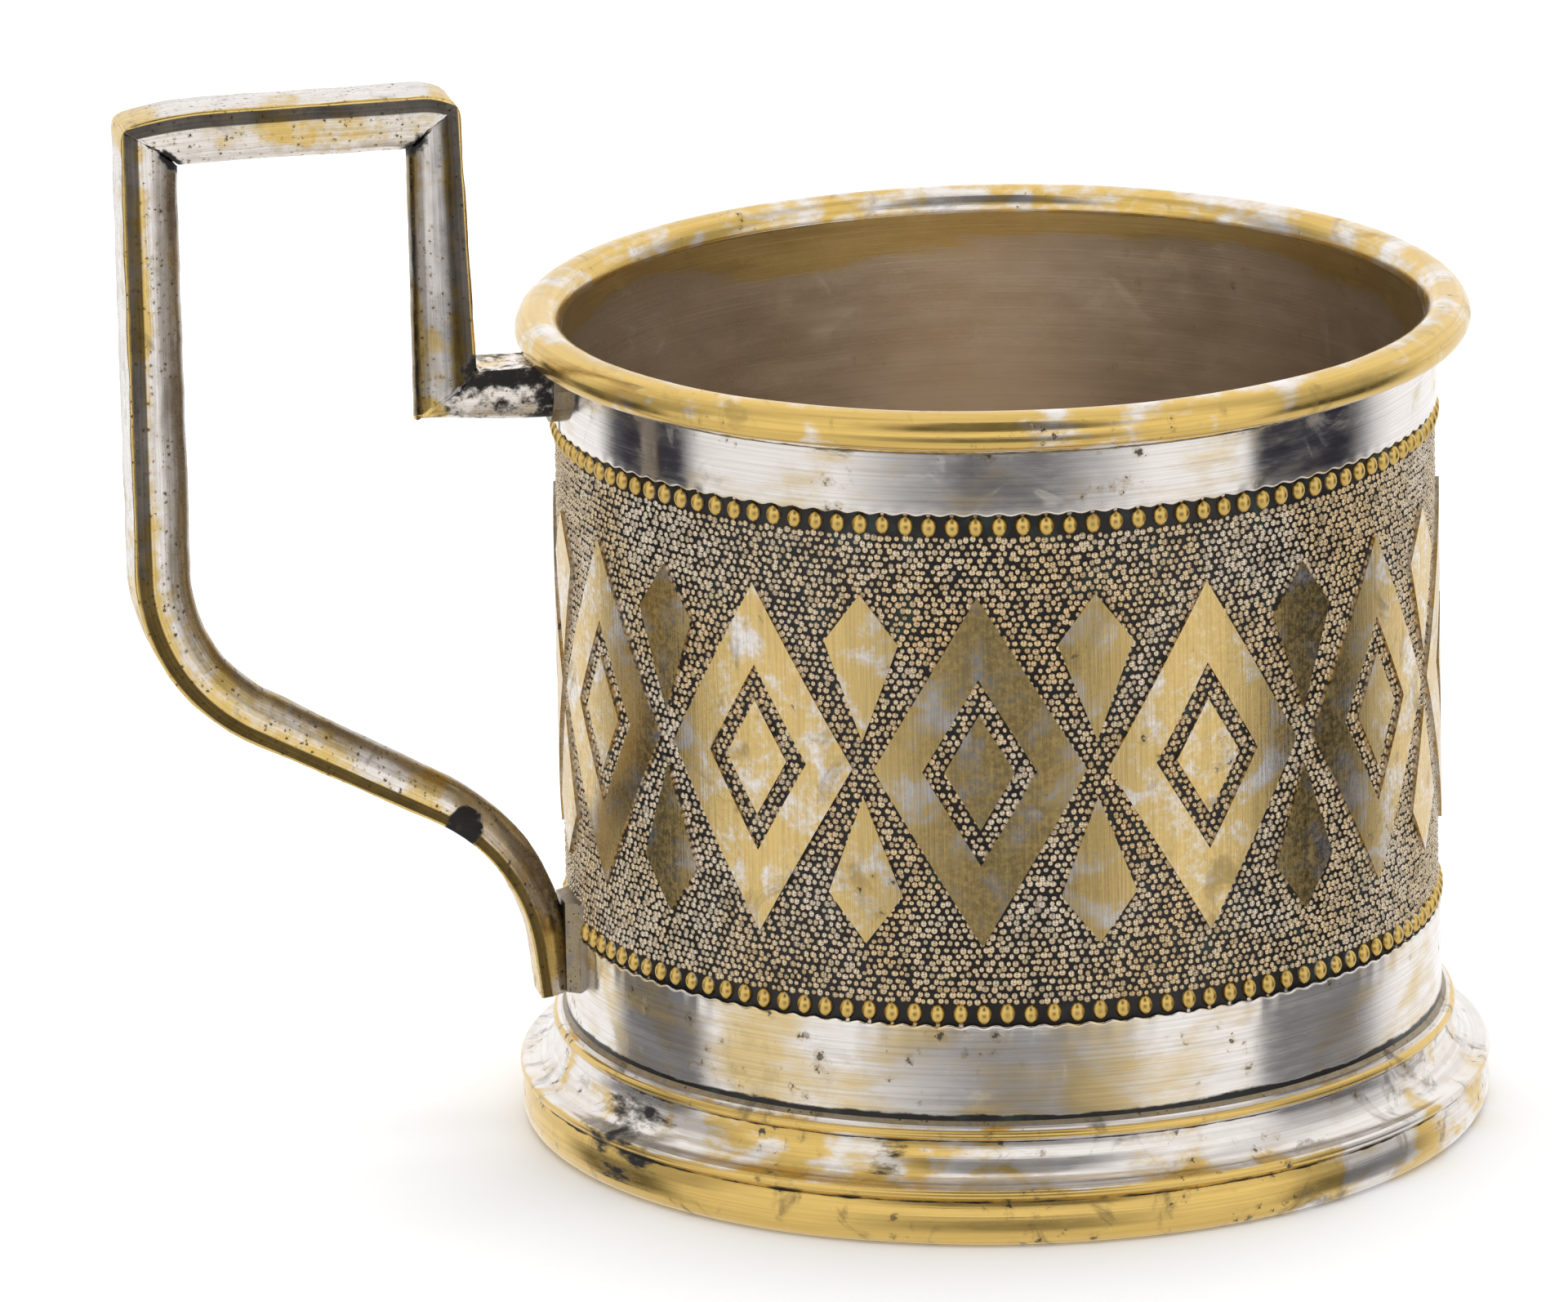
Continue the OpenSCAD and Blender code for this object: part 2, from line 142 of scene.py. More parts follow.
class HOLDER_handle_sizes(bpy.types.PropertyGroup):
    """Bars of the handle."""
    bar_w: length("Bar width", "Width of the bar", 5.2)
    bar_d: length("Bar depth", "Depth of the bar from its flat face to its crown", 4.85)
    side_d: length("Side depth", "Depth of the bar's flat side", 1.45)
    edge_r: length("Edge radius", "Rounding of the bar's worn edges", 0.28)
    grip_slope: angle("Grip slope", "Fall of the lower reach", 28)
    heel_turn: angle("Heel turn", "Fall of the tip", 83)
    grip_bend_r: length("Grip bend", "Bend radius below the grip", 16.8)
    heel_bend_r: length("Heel bend", "Bend radius above the tip", 15.5)
    tip_l: length("Tip length", "Straight length of the tip", 4)
    tip_stand: length("Tip stand", "Distance of the tip's flat face from the sleeve", 2.96)
    tip_gap: length("Tip gap", "Height of the tip above the foot", 3.15)
    tip_w: length("Tip width", "Width of the bar at its tip", 3.8)
    tip_d: length("Tip depth", "Depth of the bar at its tip", 3.05)
    corner_r: length("Corner radius", "Rounding of the handle's outer corners", 1.1)
    braze_t: length("Braze", "Thickness of the filler in a mitre", 0.25)
    left_wear: length("Left wear", "Length over which the top bar sinks to its outer end", 8)
    left_drop: length("Left drop", "How far the top bar sinks at its outer end", 1)
    right_wear: length("Right wear", "Length over which the top bar sinks to its inner end", 4)
    right_drop: length("Right drop", "How far the top bar sinks at its inner end", 0.9)
    upright_thin: length("Upright thinning", "How much thinner the inner upright is at its top", 0.85)
    stub_thin: length("Stub thinning", "How much thinner the stub is at its corner", 0.65)
    spot_x: length("Spot distance", "Distance of the burnt spot on the grip from the axis", 45)
    spot_z: length("Spot level", "Level of the burnt spot on the grip", 27.5)
    spot_r: length("Spot radius", "Radius of the burnt spot on the grip", 1.5)


class HOLDER_stage_sizes(bpy.types.PropertyGroup):
    """Camera and light."""
    camera_turn: angle("Camera turn", "How far round towards the handle the camera stands", 11.5)
    camera_rise: angle("Camera rise", "How far the camera looks down", 15.86)
    camera_roll: angle("Camera roll", "Tilt of the camera", 1.23)
    camera_far: length("Camera distance", "Distance of the camera from the point it looks at", 1151.4)
    aim_out: length("Aim out", "How far towards the handle the camera looks", 17.5)
    aim_up: length("Aim up", "Level that the camera looks at", 38.6)
    camera_lens: FloatProperty(name="Lens", description="Focal length in millimetres", default=323.5)
    overhead_power: FloatProperty(name="Overhead power", description="Power of the overhead softbox in watts",
                                  default=9.0)


class HOLDER_colours(bpy.types.PropertyGroup):
    """Colours of the metals and of what has settled on them."""
    silver: colour("Silver", "Silver plate", "#e6e0da")
    wash: colour("Wash", "Plate worn so thin that the brass glows through", "#dcc184")
    handle_brass: colour("Handle brass", "Brass of the handle's worn edges", "#e6c264")
    struck_brass: colour("Struck brass", "Satin brass of the raised figures", "#ddbb6c")
    warm_silver: colour("Thin silver", "Silver plate worn thin over brass", "#cbb892")
    brass: colour("Brass", "Polished brass", "#dfb646")
    pebble_silver: colour("Pebble silver", "Thin plate on the pebbles", "#d3c6b2")
    pebble_brass: colour("Pebble brass", "Tanned brass of the pebbles", "#d3b588")
    solder: colour("Solder", "Old soft solder", "#857d73")
    old_brass: colour("Old brass", "Tanned brass", "#a98f55")
    patina: colour("Patina", "Brown patina", "#57493a")
    # Also the colour of the painted shade in creases, at the feet of the beads and pebbles and over the
    # handle's stub
    grime_and_shade: colour("Grime", "Black grime in the hollows", "#1c1917")
    verdigris: colour("Verdigris", "Green crust between the beads", "#4d6f66")
    inner: colour("Inner wall", "Tarnished inside of the sleeve", "#e0cfb9")
    floor: colour("Floor", "Pale floor", "#fbfbfb")


def deselect():
    if bpy.context.mode != "OBJECT":
        bpy.ops.object.mode_set(mode="OBJECT")
    bpy.ops.object.select_all(action="DESELECT")


def select_only(piece):
    deselect()
    piece.select_set(True)
    bpy.context.view_layer.objects.active = piece


def name_piece(name):
    piece = bpy.context.object
    piece.name = name
    piece.data.name = name
    return piece


def edit_all():
    bpy.ops.object.mode_set(mode="EDIT")
    bpy.ops.mesh.select_all(action="SELECT")


def close_mesh():
    """Merges doubles and points the faces of a closed mesh outwards."""
    bpy.ops.mesh.select_all(action="SELECT")
    bpy.ops.mesh.remove_doubles(threshold=MERGE)
    bpy.ops.mesh.normals_make_consistent(inside=False)
    bpy.ops.object.mode_set(mode="OBJECT")


def pick_faces(piece, test):
    shape = bmesh.from_edit_mesh(piece.data)
    for face in shape.faces:
        face.select_set(bool(test(face)))
    shape.select_flush_mode()
    bmesh.update_edit_mesh(piece.data)


def draw_outline(name, points):
    """A closed outline, drawn by extruding one vertex from point to point. It is left in edit mode."""
    deselect()
    bpy.ops.mesh.primitive_plane_add(size=MM)
    piece = name_piece(name)
    edit_all()
    bpy.ops.mesh.merge(type="CENTER")
    here = Vector(points[0])
    bpy.ops.transform.translate(value=here)
    for point in points[1:] + points[:1]:
        there = Vector(point)
        bpy.ops.mesh.extrude_region_move(TRANSFORM_OT_translate={"value": there - here})
        here = there
    bpy.ops.mesh.select_all(action="SELECT")
    bpy.ops.mesh.remove_doubles(threshold=MERGE)
    return piece


def spin_outline(name, outline, steps):
    """A ring about the sleeve's axis, from an outline of radii and levels."""
    piece = draw_outline(name, [(r, 0, z) for r, z in outline])
    bpy.ops.object.mode_set(mode="OBJECT")
    bpy.ops.object.modifier_add(type="SCREW")
    turned = piece.modifiers[-1]
    turned.steps = turned.render_steps = steps
    turned.use_merge_vertices = True
    turned.merge_threshold = MERGE
    bpy.ops.object.modifier_apply(modifier=turned.name)
    edit_all()
    close_mesh()
    return piece


def arc(centre, across, up, start, end, steps):
    """Points on an ellipse, as radii and levels, between two angles in degrees."""
    turns = [math.radians(start + (end - start) * i / steps) for i in range(steps + 1)]
    return [(centre[0] + across * math.cos(t), centre[1] + up * math.sin(t)) for t in turns]


def run(start, end, steps):
    """Points along a straight line, without its last one."""
    a, b = Vector(start), Vector(end)
    return [tuple(a.lerp(b, i / steps)) for i in range(steps)]


def clamp(value):
    return min(1, max(0, value))


def smooth(low, high, value):
    share = clamp((value - low) / (high - low))
    return share * share * (3 - 2 * share)


def radius_of(point):
    """Distance of a point from the sleeve's axis."""
    return math.hypot(point.x, point.y)


def turn_of(point):
    """Angle of a point round the sleeve's axis, from the side away from the handle."""
    return math.atan2(point.y, point.x)


def make_uneven(piece, depth, size):
    """The small swells that hand work leaves, up to depth and about size across."""
    for vertex in piece.data.vertices:
        vertex.co += vertex.normal * depth * noise.noise(vertex.co / size)


def write_attribute(piece, name, rule):
    """A value on each vertex, which the piece's material reads."""
    layer = piece.data.attributes.new(name, "FLOAT", "POINT")
    layer.data.foreach_set("value", [rule(vertex) for vertex in piece.data.vertices])


def finish_piece(piece, slot, materials, *nodes, angle=38):
    """Smooths a piece and gives it its materials and its body, and hides the nodes that it replaces. slot is
    not used.
    """
    select_only(piece)
    bpy.ops.object.shade_smooth_by_angle(angle=math.radians(angle))
    piece.data.materials.clear()
    for material in materials:
        piece.data.materials.append(material)
    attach(piece, "root")
    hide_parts(*nodes)
    piece.select_set(False)


def dress_node(name, material):
    """Gives a carried-over piece its material."""
    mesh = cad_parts[name].data
    mesh.materials.clear()
    mesh.materials.append(material)


def add(tree, kind, inputs=None, **settings):
    """Adds a node with its settings, values and links. A node as a value stands for its first output."""
    node = tree.nodes.new("ShaderNode" + kind)
    for key, value in settings.items():
        setattr(node, key, value)
    for key, value in (inputs or {}).items():
        if isinstance(value, bpy.types.Node):
            value = value.outputs[0]
        if isinstance(value, bpy.types.NodeSocket):
            tree.links.new(value, node.inputs[key])
        else:
            node.inputs[key].default_value = value
    return node


def rgba(value):
    return (*value, 1)


# Settings that many nodes share. A Map Range node's inputs 1 and 2 are the ends it maps from, 3 and 4 the
# ends it maps to. A Mix node's inputs 0, 6 and 7 are its share and its two colours, its output 2 the result
SMOOTH = {"interpolation_type": "SMOOTHSTEP"}
COLOURS = {"data_type": "RGBA"}
# Darkest and lightest tints that an attribute mixes in: random tone on the pebbles, painted shade on the
# inner wall's ends, painted shade and painted highlight on the handle's bars
TONE_AND_SHADE_DARK, TONE_AND_SHADE_LIGHT = (0.27, 0.25, 0.225, 1), (1.12, 1.12, 1.12, 1)

# Weights of broad noise, ragged noise and wear where the plate is gone, and how far the noise spreads
BROAD, RAGGED, WEAR, NOISE_SPREAD = 0.64, 0.36, 0.4, 0.36

# Lengths of the brush lines, how much longer scratches are round the sleeve than up it, and sizes of
# stains, herds of pits and crusts
HAIR_LENGTH = {"ROUND": 26 * MM, "UP": 9 * MM, "BAR": 14 * MM}
STREAK = 3.2
STAIN_SIZE, PIT_HERD_SIZE, CRUST_SIZE = 5.5 * MM, 7 * MM, 4 * MM


def worn_metal(name, top, under, patch, share, rough, brush="ROUND", brush_mm=0.22, pit_mm=1.1,
               pit_share=0.6, stain=0.5, worn="", grime_and_shade_mask="", tone_and_shade="", lines=0.12, aniso=0.0, bump=0.25,
               brush_depth=0.03, soft=0.035, dull="", metal=1.0, crust=0.0, pits_by_wear=0.0):
    """Plate over brass. top wears off in patches and shows under; grime with painted shade, stains, pits and
    brush lines follow.

    patch is the size of the bare patches in metres and share how much of the plate is gone. brush is
    ROUND for lines that run round the sleeve, UP for upright lines, BAR for lines along a bar, or empty.
    worn names an attribute that bares the brass; the next two name attributes that blacken the metal with
    grime and painted shade and that vary its shade with random tone, painted shade and painted highlight;
    dull names one that takes its gloss. soft blurs the edge of a patch, crust greens the blackening and
    pits_by_wear gathers the pits where the plate is worn."""
    colours = bpy.context.scene.holder_colours
    material = bpy.data.materials.new(name)
    material.use_nodes = True
    tree = material.node_tree
    tree.nodes.clear()
    place = add(tree, "TexCoord").outputs["Object"]
    x, y, z = add(tree, "SeparateXYZ", {0: place}).outputs

    # The place as arc length and level, so that a pattern can run round the sleeve
    turn = add(tree, "Math", {0: y, 1: x}, operation="ARCTAN2")
    arc_length = add(tree, "Math", {0: turn, 1: SLEEVE_HIGH.x}, operation="MULTIPLY")
    flat = add(tree, "CombineXYZ", {0: arc_length, 1: z})

    # Patches where the plate is gone, with a thin warm edge
    streaky = place
    if brush == "ROUND":
        streaky = add(tree, "VectorMath", {0: flat, 1: (1 / STREAK, 1, 1)}, operation="MULTIPLY")
    broad = add(tree, "TexNoise", {
        "Vector": place, "Scale": 1 / patch, "Detail": 2.0, "Roughness": 0.5, "Distortion": 0.6})
    ragged = add(tree, "TexNoise", {"Vector": streaky, "Scale": 7 / patch, "Detail": 5.0, "Roughness": 0.65})
    mixed = add(tree, "Math", {0: broad, 1: BROAD}, operation="MULTIPLY")
    mixed = add(tree, "Math", {0: ragged, 1: RAGGED, 2: mixed}, operation="MULTIPLY_ADD")
    if worn:
        wear = add(tree, "Attribute", attribute_name=worn).outputs["Fac"]
        mixed = add(tree, "Math", {0: wear, 1: WEAR, 2: mixed}, operation="MULTIPLY_ADD")
    edge = 0.5 + (0.5 - share) * NOISE_SPREAD
    bare = add(tree, "MapRange", {0: mixed, 1: edge - soft, 2: edge + soft}, **SMOOTH)
    thin = add(tree, "MapRange", {0: mixed, 1: edge - 0.13, 2: edge, 4: 0.35}, **SMOOTH)
    shade = rgba(top)
    for cover, tinge in ((bare, under), (thin, colours.warm_silver)):
        shade = add(tree, "Mix", {0: cover, 6: shade, 7: rgba(tinge)}, **COLOURS).outputs[2]

    # Brush lines
    if brush:
        lined = flat
        if brush == "BAR":
            along = add(tree, "Math", {0: x, 1: z}, operation="ADD")
            depth = add(tree, "Attribute", attribute_name="depth").outputs["Fac"]
            across = add(tree, "Math", {0: y, 1: depth}, operation="ADD")
            lined = add(tree, "CombineXYZ", {0: along, 1: across})
        long, fine = 1 / HAIR_LENGTH[brush], 1 / (brush_mm * MM)
        scale = (fine, long, long) if brush == "UP" else (long, fine, fine)
        hair_place = add(tree, "VectorMath", {0: lined, 1: scale}, operation="MULTIPLY")
        hair = add(tree, "TexNoise", {"Vector": hair_place, "Scale": 1.0, "Detail": 4.0, "Roughness": 0.7})
        light = add(tree, "MapRange", {0: hair, 1: 0.33, 2: 0.62, 3: 1 - 2 * lines, 4: 1 + lines}, **SMOOTH)
        shade = add(tree, "VectorMath", {0: shade, 3: light}, operation="SCALE")

    # Stains, and pits of irregular outline with a brown halo
    stains = add(tree, "TexNoise", {
        "Vector": place, "Scale": 1 / STAIN_SIZE, "Detail": 6.0, "Roughness": 0.62, "Distortion": 1.2})
    stained = add(tree, "MapRange", {0: stains, 1: 0.56, 2: 0.7}, **SMOOTH)
    browned = add(tree, "Math", {0: stained, 1: stain}, operation="MULTIPLY")
    pit_size = pit_mm * MM
    wobble = add(tree, "TexNoise", {"Vector": place, "Scale": 3 / pit_size, "Detail": 2.0}).outputs["Color"]
    bent = add(tree, "VectorMath", {0: wobble, 1: [pit_size] * 3, 2: place}, operation="MULTIPLY_ADD")
    dots = add(tree, "TexVoronoi", {"Vector": bent, "Scale": 1 / pit_size, "Randomness": 1.0})
    herd = add(tree, "TexNoise", {
        "Vector": place, "Scale": 1 / PIT_HERD_SIZE, "Detail": 4.0, "Roughness": 0.6})
    if pits_by_wear:
        herd = add(tree, "Math", {0: wear, 1: pits_by_wear, 2: herd}, operation="MULTIPLY_ADD")
    herd_edge = 0.62 - 0.2 * pit_share
    where = add(tree, "MapRange", {0: herd, 1: herd_edge, 2: herd_edge + 0.1}, **SMOOTH)
    chance = add(tree, "SeparateColor", {0: dots.outputs["Color"]})
    steep = add(tree, "Math", {0: chance, 1: 2.5}, operation="POWER")
    radius = add(tree, "Math", {0: steep, 1: 0.34, 2: 0.05}, operation="MULTIPLY_ADD")
    reach = add(tree, "Math", {0: dots.outputs["Distance"], 1: radius}, operation="DIVIDE")
    pit = add(tree, "MapRange", {0: reach, 1: 0.6, 2: 1.0, 3: 1.0, 4: 0.0}, **SMOOTH)
    pit = add(tree, "Math", {0: pit, 1: where}, operation="MULTIPLY")
    halo = add(tree, "MapRange", {0: reach, 1: 1.0, 2: 2.2, 3: 0.4, 4: 0.0}, **SMOOTH)
    halo = add(tree, "Math", {0: halo, 1: where}, operation="MULTIPLY")
    filled = add(tree, "Math", {0: pit, 1: 0.9}, operation="MULTIPLY")
    for cover, tinge in ((browned, colours.patina), (halo, colours.old_brass), (filled, colours.grime_and_shade)):
        shade = add(tree, "Mix", {0: cover, 6: shade, 7: rgba(tinge)}, **COLOURS).outputs[2]

    # Random tone, painted shade and painted highlight, gloss, and blackening by grime and painted shade, that
    # the attributes give
    if tone_and_shade:
        tone_and_shade_share = add(tree, "Attribute", attribute_name=tone_and_shade).outputs["Fac"]
        tone_and_shade_share = add(tree, "MapRange", {0: tone_and_shade_share, 1: 0.0, 2: 1.0}, **SMOOTH)
        tone_and_shade_tint = add(tree, "Mix", {0: tone_and_shade_share, 6: TONE_AND_SHADE_DARK, 7: TONE_AND_SHADE_LIGHT}, **COLOURS).outputs[2]
        shade = add(tree, "VectorMath", {0: shade, 1: tone_and_shade_tint}, operation="MULTIPLY")
    metallic = add(tree, "Math", {0: pit, 1: -0.7, 2: metal}, operation="MULTIPLY_ADD", use_clamp=True)
    if dull:
        loss = add(tree, "Attribute", attribute_name=dull).outputs["Fac"]
        metallic = add(tree, "Math", {0: metallic, 1: loss}, operation="SUBTRACT", use_clamp=True)
    low, high = rough - 0.05, rough + 0.09
    roughness = add(tree, "MapRange", {0: ragged, 1: 0.3, 2: 0.7, 3: low, 4: high}, **SMOOTH)
    roughness = add(tree, "Math", {0: stained, 1: 0.14, 2: roughness}, operation="MULTIPLY_ADD")
    # Blackening from the mask attribute: grime, crust and dark joints, and painted shade in the foot's
    # creases, at the feet of beads and pebbles and over the handle's stub
    if grime_and_shade_mask:
        black = add(tree, "Attribute", attribute_name=grime_and_shade_mask).outputs["Fac"]
        black = add(tree, "Math", {0: ragged, 1: 1.3, 2: black}, operation="MULTIPLY_ADD")
        black = add(tree, "MapRange", {0: black, 1: 0.99, 2: 1.29}, **SMOOTH)
        dirt_and_shade = rgba(colours.grime_and_shade)
        if crust:
            green = add(tree, "TexNoise", {
                "Vector": place, "Scale": 1 / CRUST_SIZE, "Detail": 4.0, "Roughness": 0.6})
            green = add(tree, "MapRange", {0: green, 1: 0.55, 2: 0.7, 4: crust}, **SMOOTH)
            dirt_and_shade = add(tree, "Mix", {0: green, 6: dirt_and_shade, 7: rgba(colours.verdigris)}, **COLOURS).outputs[2]
        shade = add(tree, "Mix", {0: black, 6: shade, 7: dirt_and_shade}, **COLOURS).outputs[2]
        clean = add(tree, "Math", {0: black, 1: -0.7, 2: 1.0}, operation="MULTIPLY_ADD")
        metallic = add(tree, "Math", {0: metallic, 1: clean}, operation="MULTIPLY")
        roughness = add(tree, "Math", {0: black, 1: 0.25, 2: roughness}, operation="MULTIPLY_ADD")

    # Relief of the pits and of the brush lines
    rise = add(tree, "Math", {0: ragged, 1: 0.25}, operation="MULTIPLY")
    rise = add(tree, "Math", {0: rise, 1: pit}, operation="SUBTRACT")
    normal = add(tree, "Bump", {"Height": rise, "Strength": bump, "Distance": 0.05 * MM})
    if brush:
        normal = add(tree, "Bump", {
            "Height": hair, "Strength": 0.5, "Distance": brush_depth * MM, "Normal": normal})
    surface = {"Base Color": shade, "Metallic": metallic, "Roughness": roughness, "Normal": normal}
    if aniso:
        tangent = add(tree, "Tangent", direction_type="RADIAL", axis="Z")
        surface.update({"Anisotropic": aniso, "Anisotropic Rotation": 0.25, "Tangent": tangent})
    shader = add(tree, "BsdfPrincipled", surface)
    add(tree, "OutputMaterial", {"Surface": shader})
    return material


def brushed_plate():
    """Silver plate brushed round the sleeve: bright and streaky, spreads reflections up and down."""
    c = bpy.context.scene.holder_colours
    return worn_metal("brushed_silver_plate", c.silver, c.wash, 11 * MM, 0.22, 0.14, aniso=0.8, dull="dull",
                      pit_share=0.35, stain=0.12, worn="worn", grime_and_shade_mask="grime_and_shade_mask", lines=0.07, soft=0.1, bump=0.06,
                      brush_depth=0.012, crust=0.2, pits_by_wear=0.3)


def inner_plate(name, worn, tone_and_shade):
    """Tarnished plate inside the sleeve and on the seat: satin and taupe, with faint turning lines and,
    inside the sleeve, painted shade towards its ends.
    """
    c = bpy.context.scene.holder_colours
    return worn_metal(name, c.inner, c.struck_brass, 24 * MM, 0.1, 0.32, lines=0.03, worn=worn, tone_and_shade=tone_and_shade,
                      pit_share=0.1, stain=0.12, bump=0.1, metal=0.88)


def rim_brass():
    """Spun brass rim, polished by lips and hands: gold, with scratched remains of plate."""
    c = bpy.context.scene.holder_colours
    return worn_metal("spun_brass_rim", c.silver, c.brass, 5 * MM, 0.56, 0.16, pit_share=0.3, stain=0.25,
                      brush_mm=0.3, worn="worn", grime_and_shade_mask="grime_and_shade_mask", lines=0.06, soft=0.07, metal=0.92, pit_mm=0.8)


def foot_brass():
    """Spun brass foot: gold on its ridges, scratched plate in its cove."""
    c = bpy.context.scene.holder_colours
    return worn_metal("spun_brass_foot", c.silver, c.brass, 7 * MM, 0.26, 0.17, pit_share=0.6, stain=0.6,
                      brush_mm=0.3, worn="worn", grime_and_shade_mask="grime_and_shade_mask", lines=0.06, bump=0.12, metal=0.8, soft=0.05)


def handle_plate(name="filed_plated_bar"):
    """Filed and plated bar, handled for years: pitted silver, golden along its edges."""
    c = bpy.context.scene.holder_colours
    return worn_metal(name, c.silver, c.handle_brass, 9 * MM, 0.14, 0.24, brush="BAR", pit_mm=0.42,
                      pit_share=1.5, stain=0.4, worn="worn", grime_and_shade_mask="grime_and_shade_mask", tone_and_shade="tone_and_shade", bump=0.4, lines=0.1,
                      brush_depth=0.01, soft=0.07)


def corner_filler():
    """Filler in the mitres: filed flush with the bars, black in the crevice."""
    return handle_plate("filed_corner_filler")


def figure_brass():
    """Struck brass with upright satin lines: dull gold with grey traces of plate."""
    c = bpy.context.scene.holder_colours
    return worn_metal("satin_struck_brass", c.silver, c.struck_brass, 3.2 * MM, 0.66, 0.24, brush="UP",
                      brush_mm=0.2, pit_share=0.3, stain=0.3, worn="worn", lines=0.07, soft=0.08, bump=0.12)


def pebble_brass():
    """Punched pebbles: small polished domes, each of its own shade, darker towards their feet with grime and
    painted shade, in black hollows.
    """
    c = bpy.context.scene.holder_colours
    return worn_metal("punched_pebbles", c.pebble_silver, c.pebble_brass, 12 * MM, 0.5, 0.2, brush="",
                      stain=0.3, pit_share=0.0, tone_and_shade="tone_and_shade", grime_and_shade_mask="grime_and_shade_mask", bump=0.05, soft=0.16, crust=0.3,
                      metal=0.85)


def bead_brass():
    """Struck beads: polished brass with silvery rims, and grime with painted shade round their feet."""
    c = bpy.context.scene.holder_colours
    return worn_metal("polished_bead_brass", c.silver, c.brass, 6 * MM, 0.45, 0.3, brush="", stain=0.1,
                      pit_share=0.0, worn="worn", grime_and_shade_mask="grime_and_shade_mask", bump=0.05, crust=0.4)


def solder_metal(name, pitted):
    """Old solder: dull grey with black pits."""
    c = bpy.context.scene.holder_colours
    return worn_metal(name, c.solder, c.patina, 1.6 * MM, 0.3 + 0.25 * pitted, 0.36, brush="", pit_mm=0.4,
                      pit_share=1.2, stain=0.6, bump=0.9, soft=0.12)


class HOLDER_OT_sleeve(bpy.types.Operator):
    """Model the sleeve with its recessed ground and wavy band edges"""
    bl_idname = "holder.sleeve"
    bl_label = "Sleeve"

    def execute(self, context):
        s = context.scene.holder_body
        beads = context.scene.holder_relief.bead_count
        outer, low, high = SLEEVE_HIGH.x, SLEEVE_LOW.z, SLEEVE_HIGH.z
        ground = outer - s.ground_depth
        roll = s.edge_roll
        outline = run((s.bore_r, high), (s.bore_r, low), 12)
        outline += [(s.bore_r, low), (outer, low)]
        outline += [(outer, FOOT_HIGH.z + above * MM) for above in (0, 0.4, 0.8)]
        outline += run((outer, FOOT_HIGH.z + 1.2 * MM), (outer, s.relief_low - roll), 3)
        outline += arc((outer - roll, s.relief_low - roll), roll, roll, 0, 90, 4)
        outline += [(ground, s.relief_low), (ground, s.relief_low + MM), (ground, s.relief_high - MM)]
        outline += [(ground, s.relief_high)]
        outline += arc((outer - roll, s.relief_high + roll), roll, roll, 270, 360, 4)
        outline += run((outer, s.relief_high + MM), (outer, high), 4) + [(outer, high)]
        piece = spin_outline("sleeve_shell", outline, 6 * beads)
        for vertex in piece.data.vertices:
            reach = radius_of(vertex.co)
            for edge, way in ((s.relief_low, -1), (s.relief_high, 1)):
                if reach > ground - MERGE and abs(vertex.co.z - edge) < 1.2 * roll:
                    vertex.co.z += way * s.edge_wave * math.cos(beads * turn_of(vertex.co))
        make_uneven(piece, 0.03 * MM, 16 * MM)
        middle = (s.bore_r + outer) / 2

        # Darkening of the sleeve: the recessed ground black, and a band under the rim and one above the foot,
        # darker towards them
        def grime_and_shade(vertex):
            reach, level = radius_of(vertex.co), vertex.co.z
            in_relief = s.relief_low - roll / 2 < level < s.relief_high + roll / 2
            if in_relief and middle < reach < outer - roll / 2:
                return 1.0
            under_rim = 0.5 * smooth(RIM_LOW.z - 1.0 * MM, RIM_LOW.z - 0.2 * MM, level)
            over_foot = smooth(FOOT_HIGH.z + 1.1 * MM, FOOT_HIGH.z + 0.45 * MM, level)
            return max(under_rim, over_foot) if reach > middle else 0.0

        def washed(vertex):
            if radius_of(vertex.co) < middle:
                return 0.8 * (vertex.co.z > high - MM)
            side = max(0, math.cos(turn_of(vertex.co) - s.gold_side))
            return (0.06 + 0.26 * side ** 3) * (vertex.co.z < s.relief_low)

        # Painted shade on the inner wall, darkest at its left and right ends as the camera sees them
        def painted_end_shade(vertex):
            return 0.8 - 0.42 * abs(math.cos(turn_of(vertex.co))) ** 2.5

        write_attribute(piece, "grime_and_shade_mask", grime_and_shade)
        write_attribute(piece, "worn", washed)
        write_attribute(piece, "dull", lambda v: 0.2 * (v.co.z < s.relief_low))
        write_attribute(piece, "tone_and_shade", painted_end_shade)
        inside = inner_plate("tarnished_and_shaded_inner_plate", "worn", "tone_and_shade")
        finish_piece(piece, "plated_sleeve", [brushed_plate(), inside], "sleeve")
        for face in piece.data.polygons:
            face.material_index = int(radius_of(face.center) < middle)
        return {"FINISHED"}


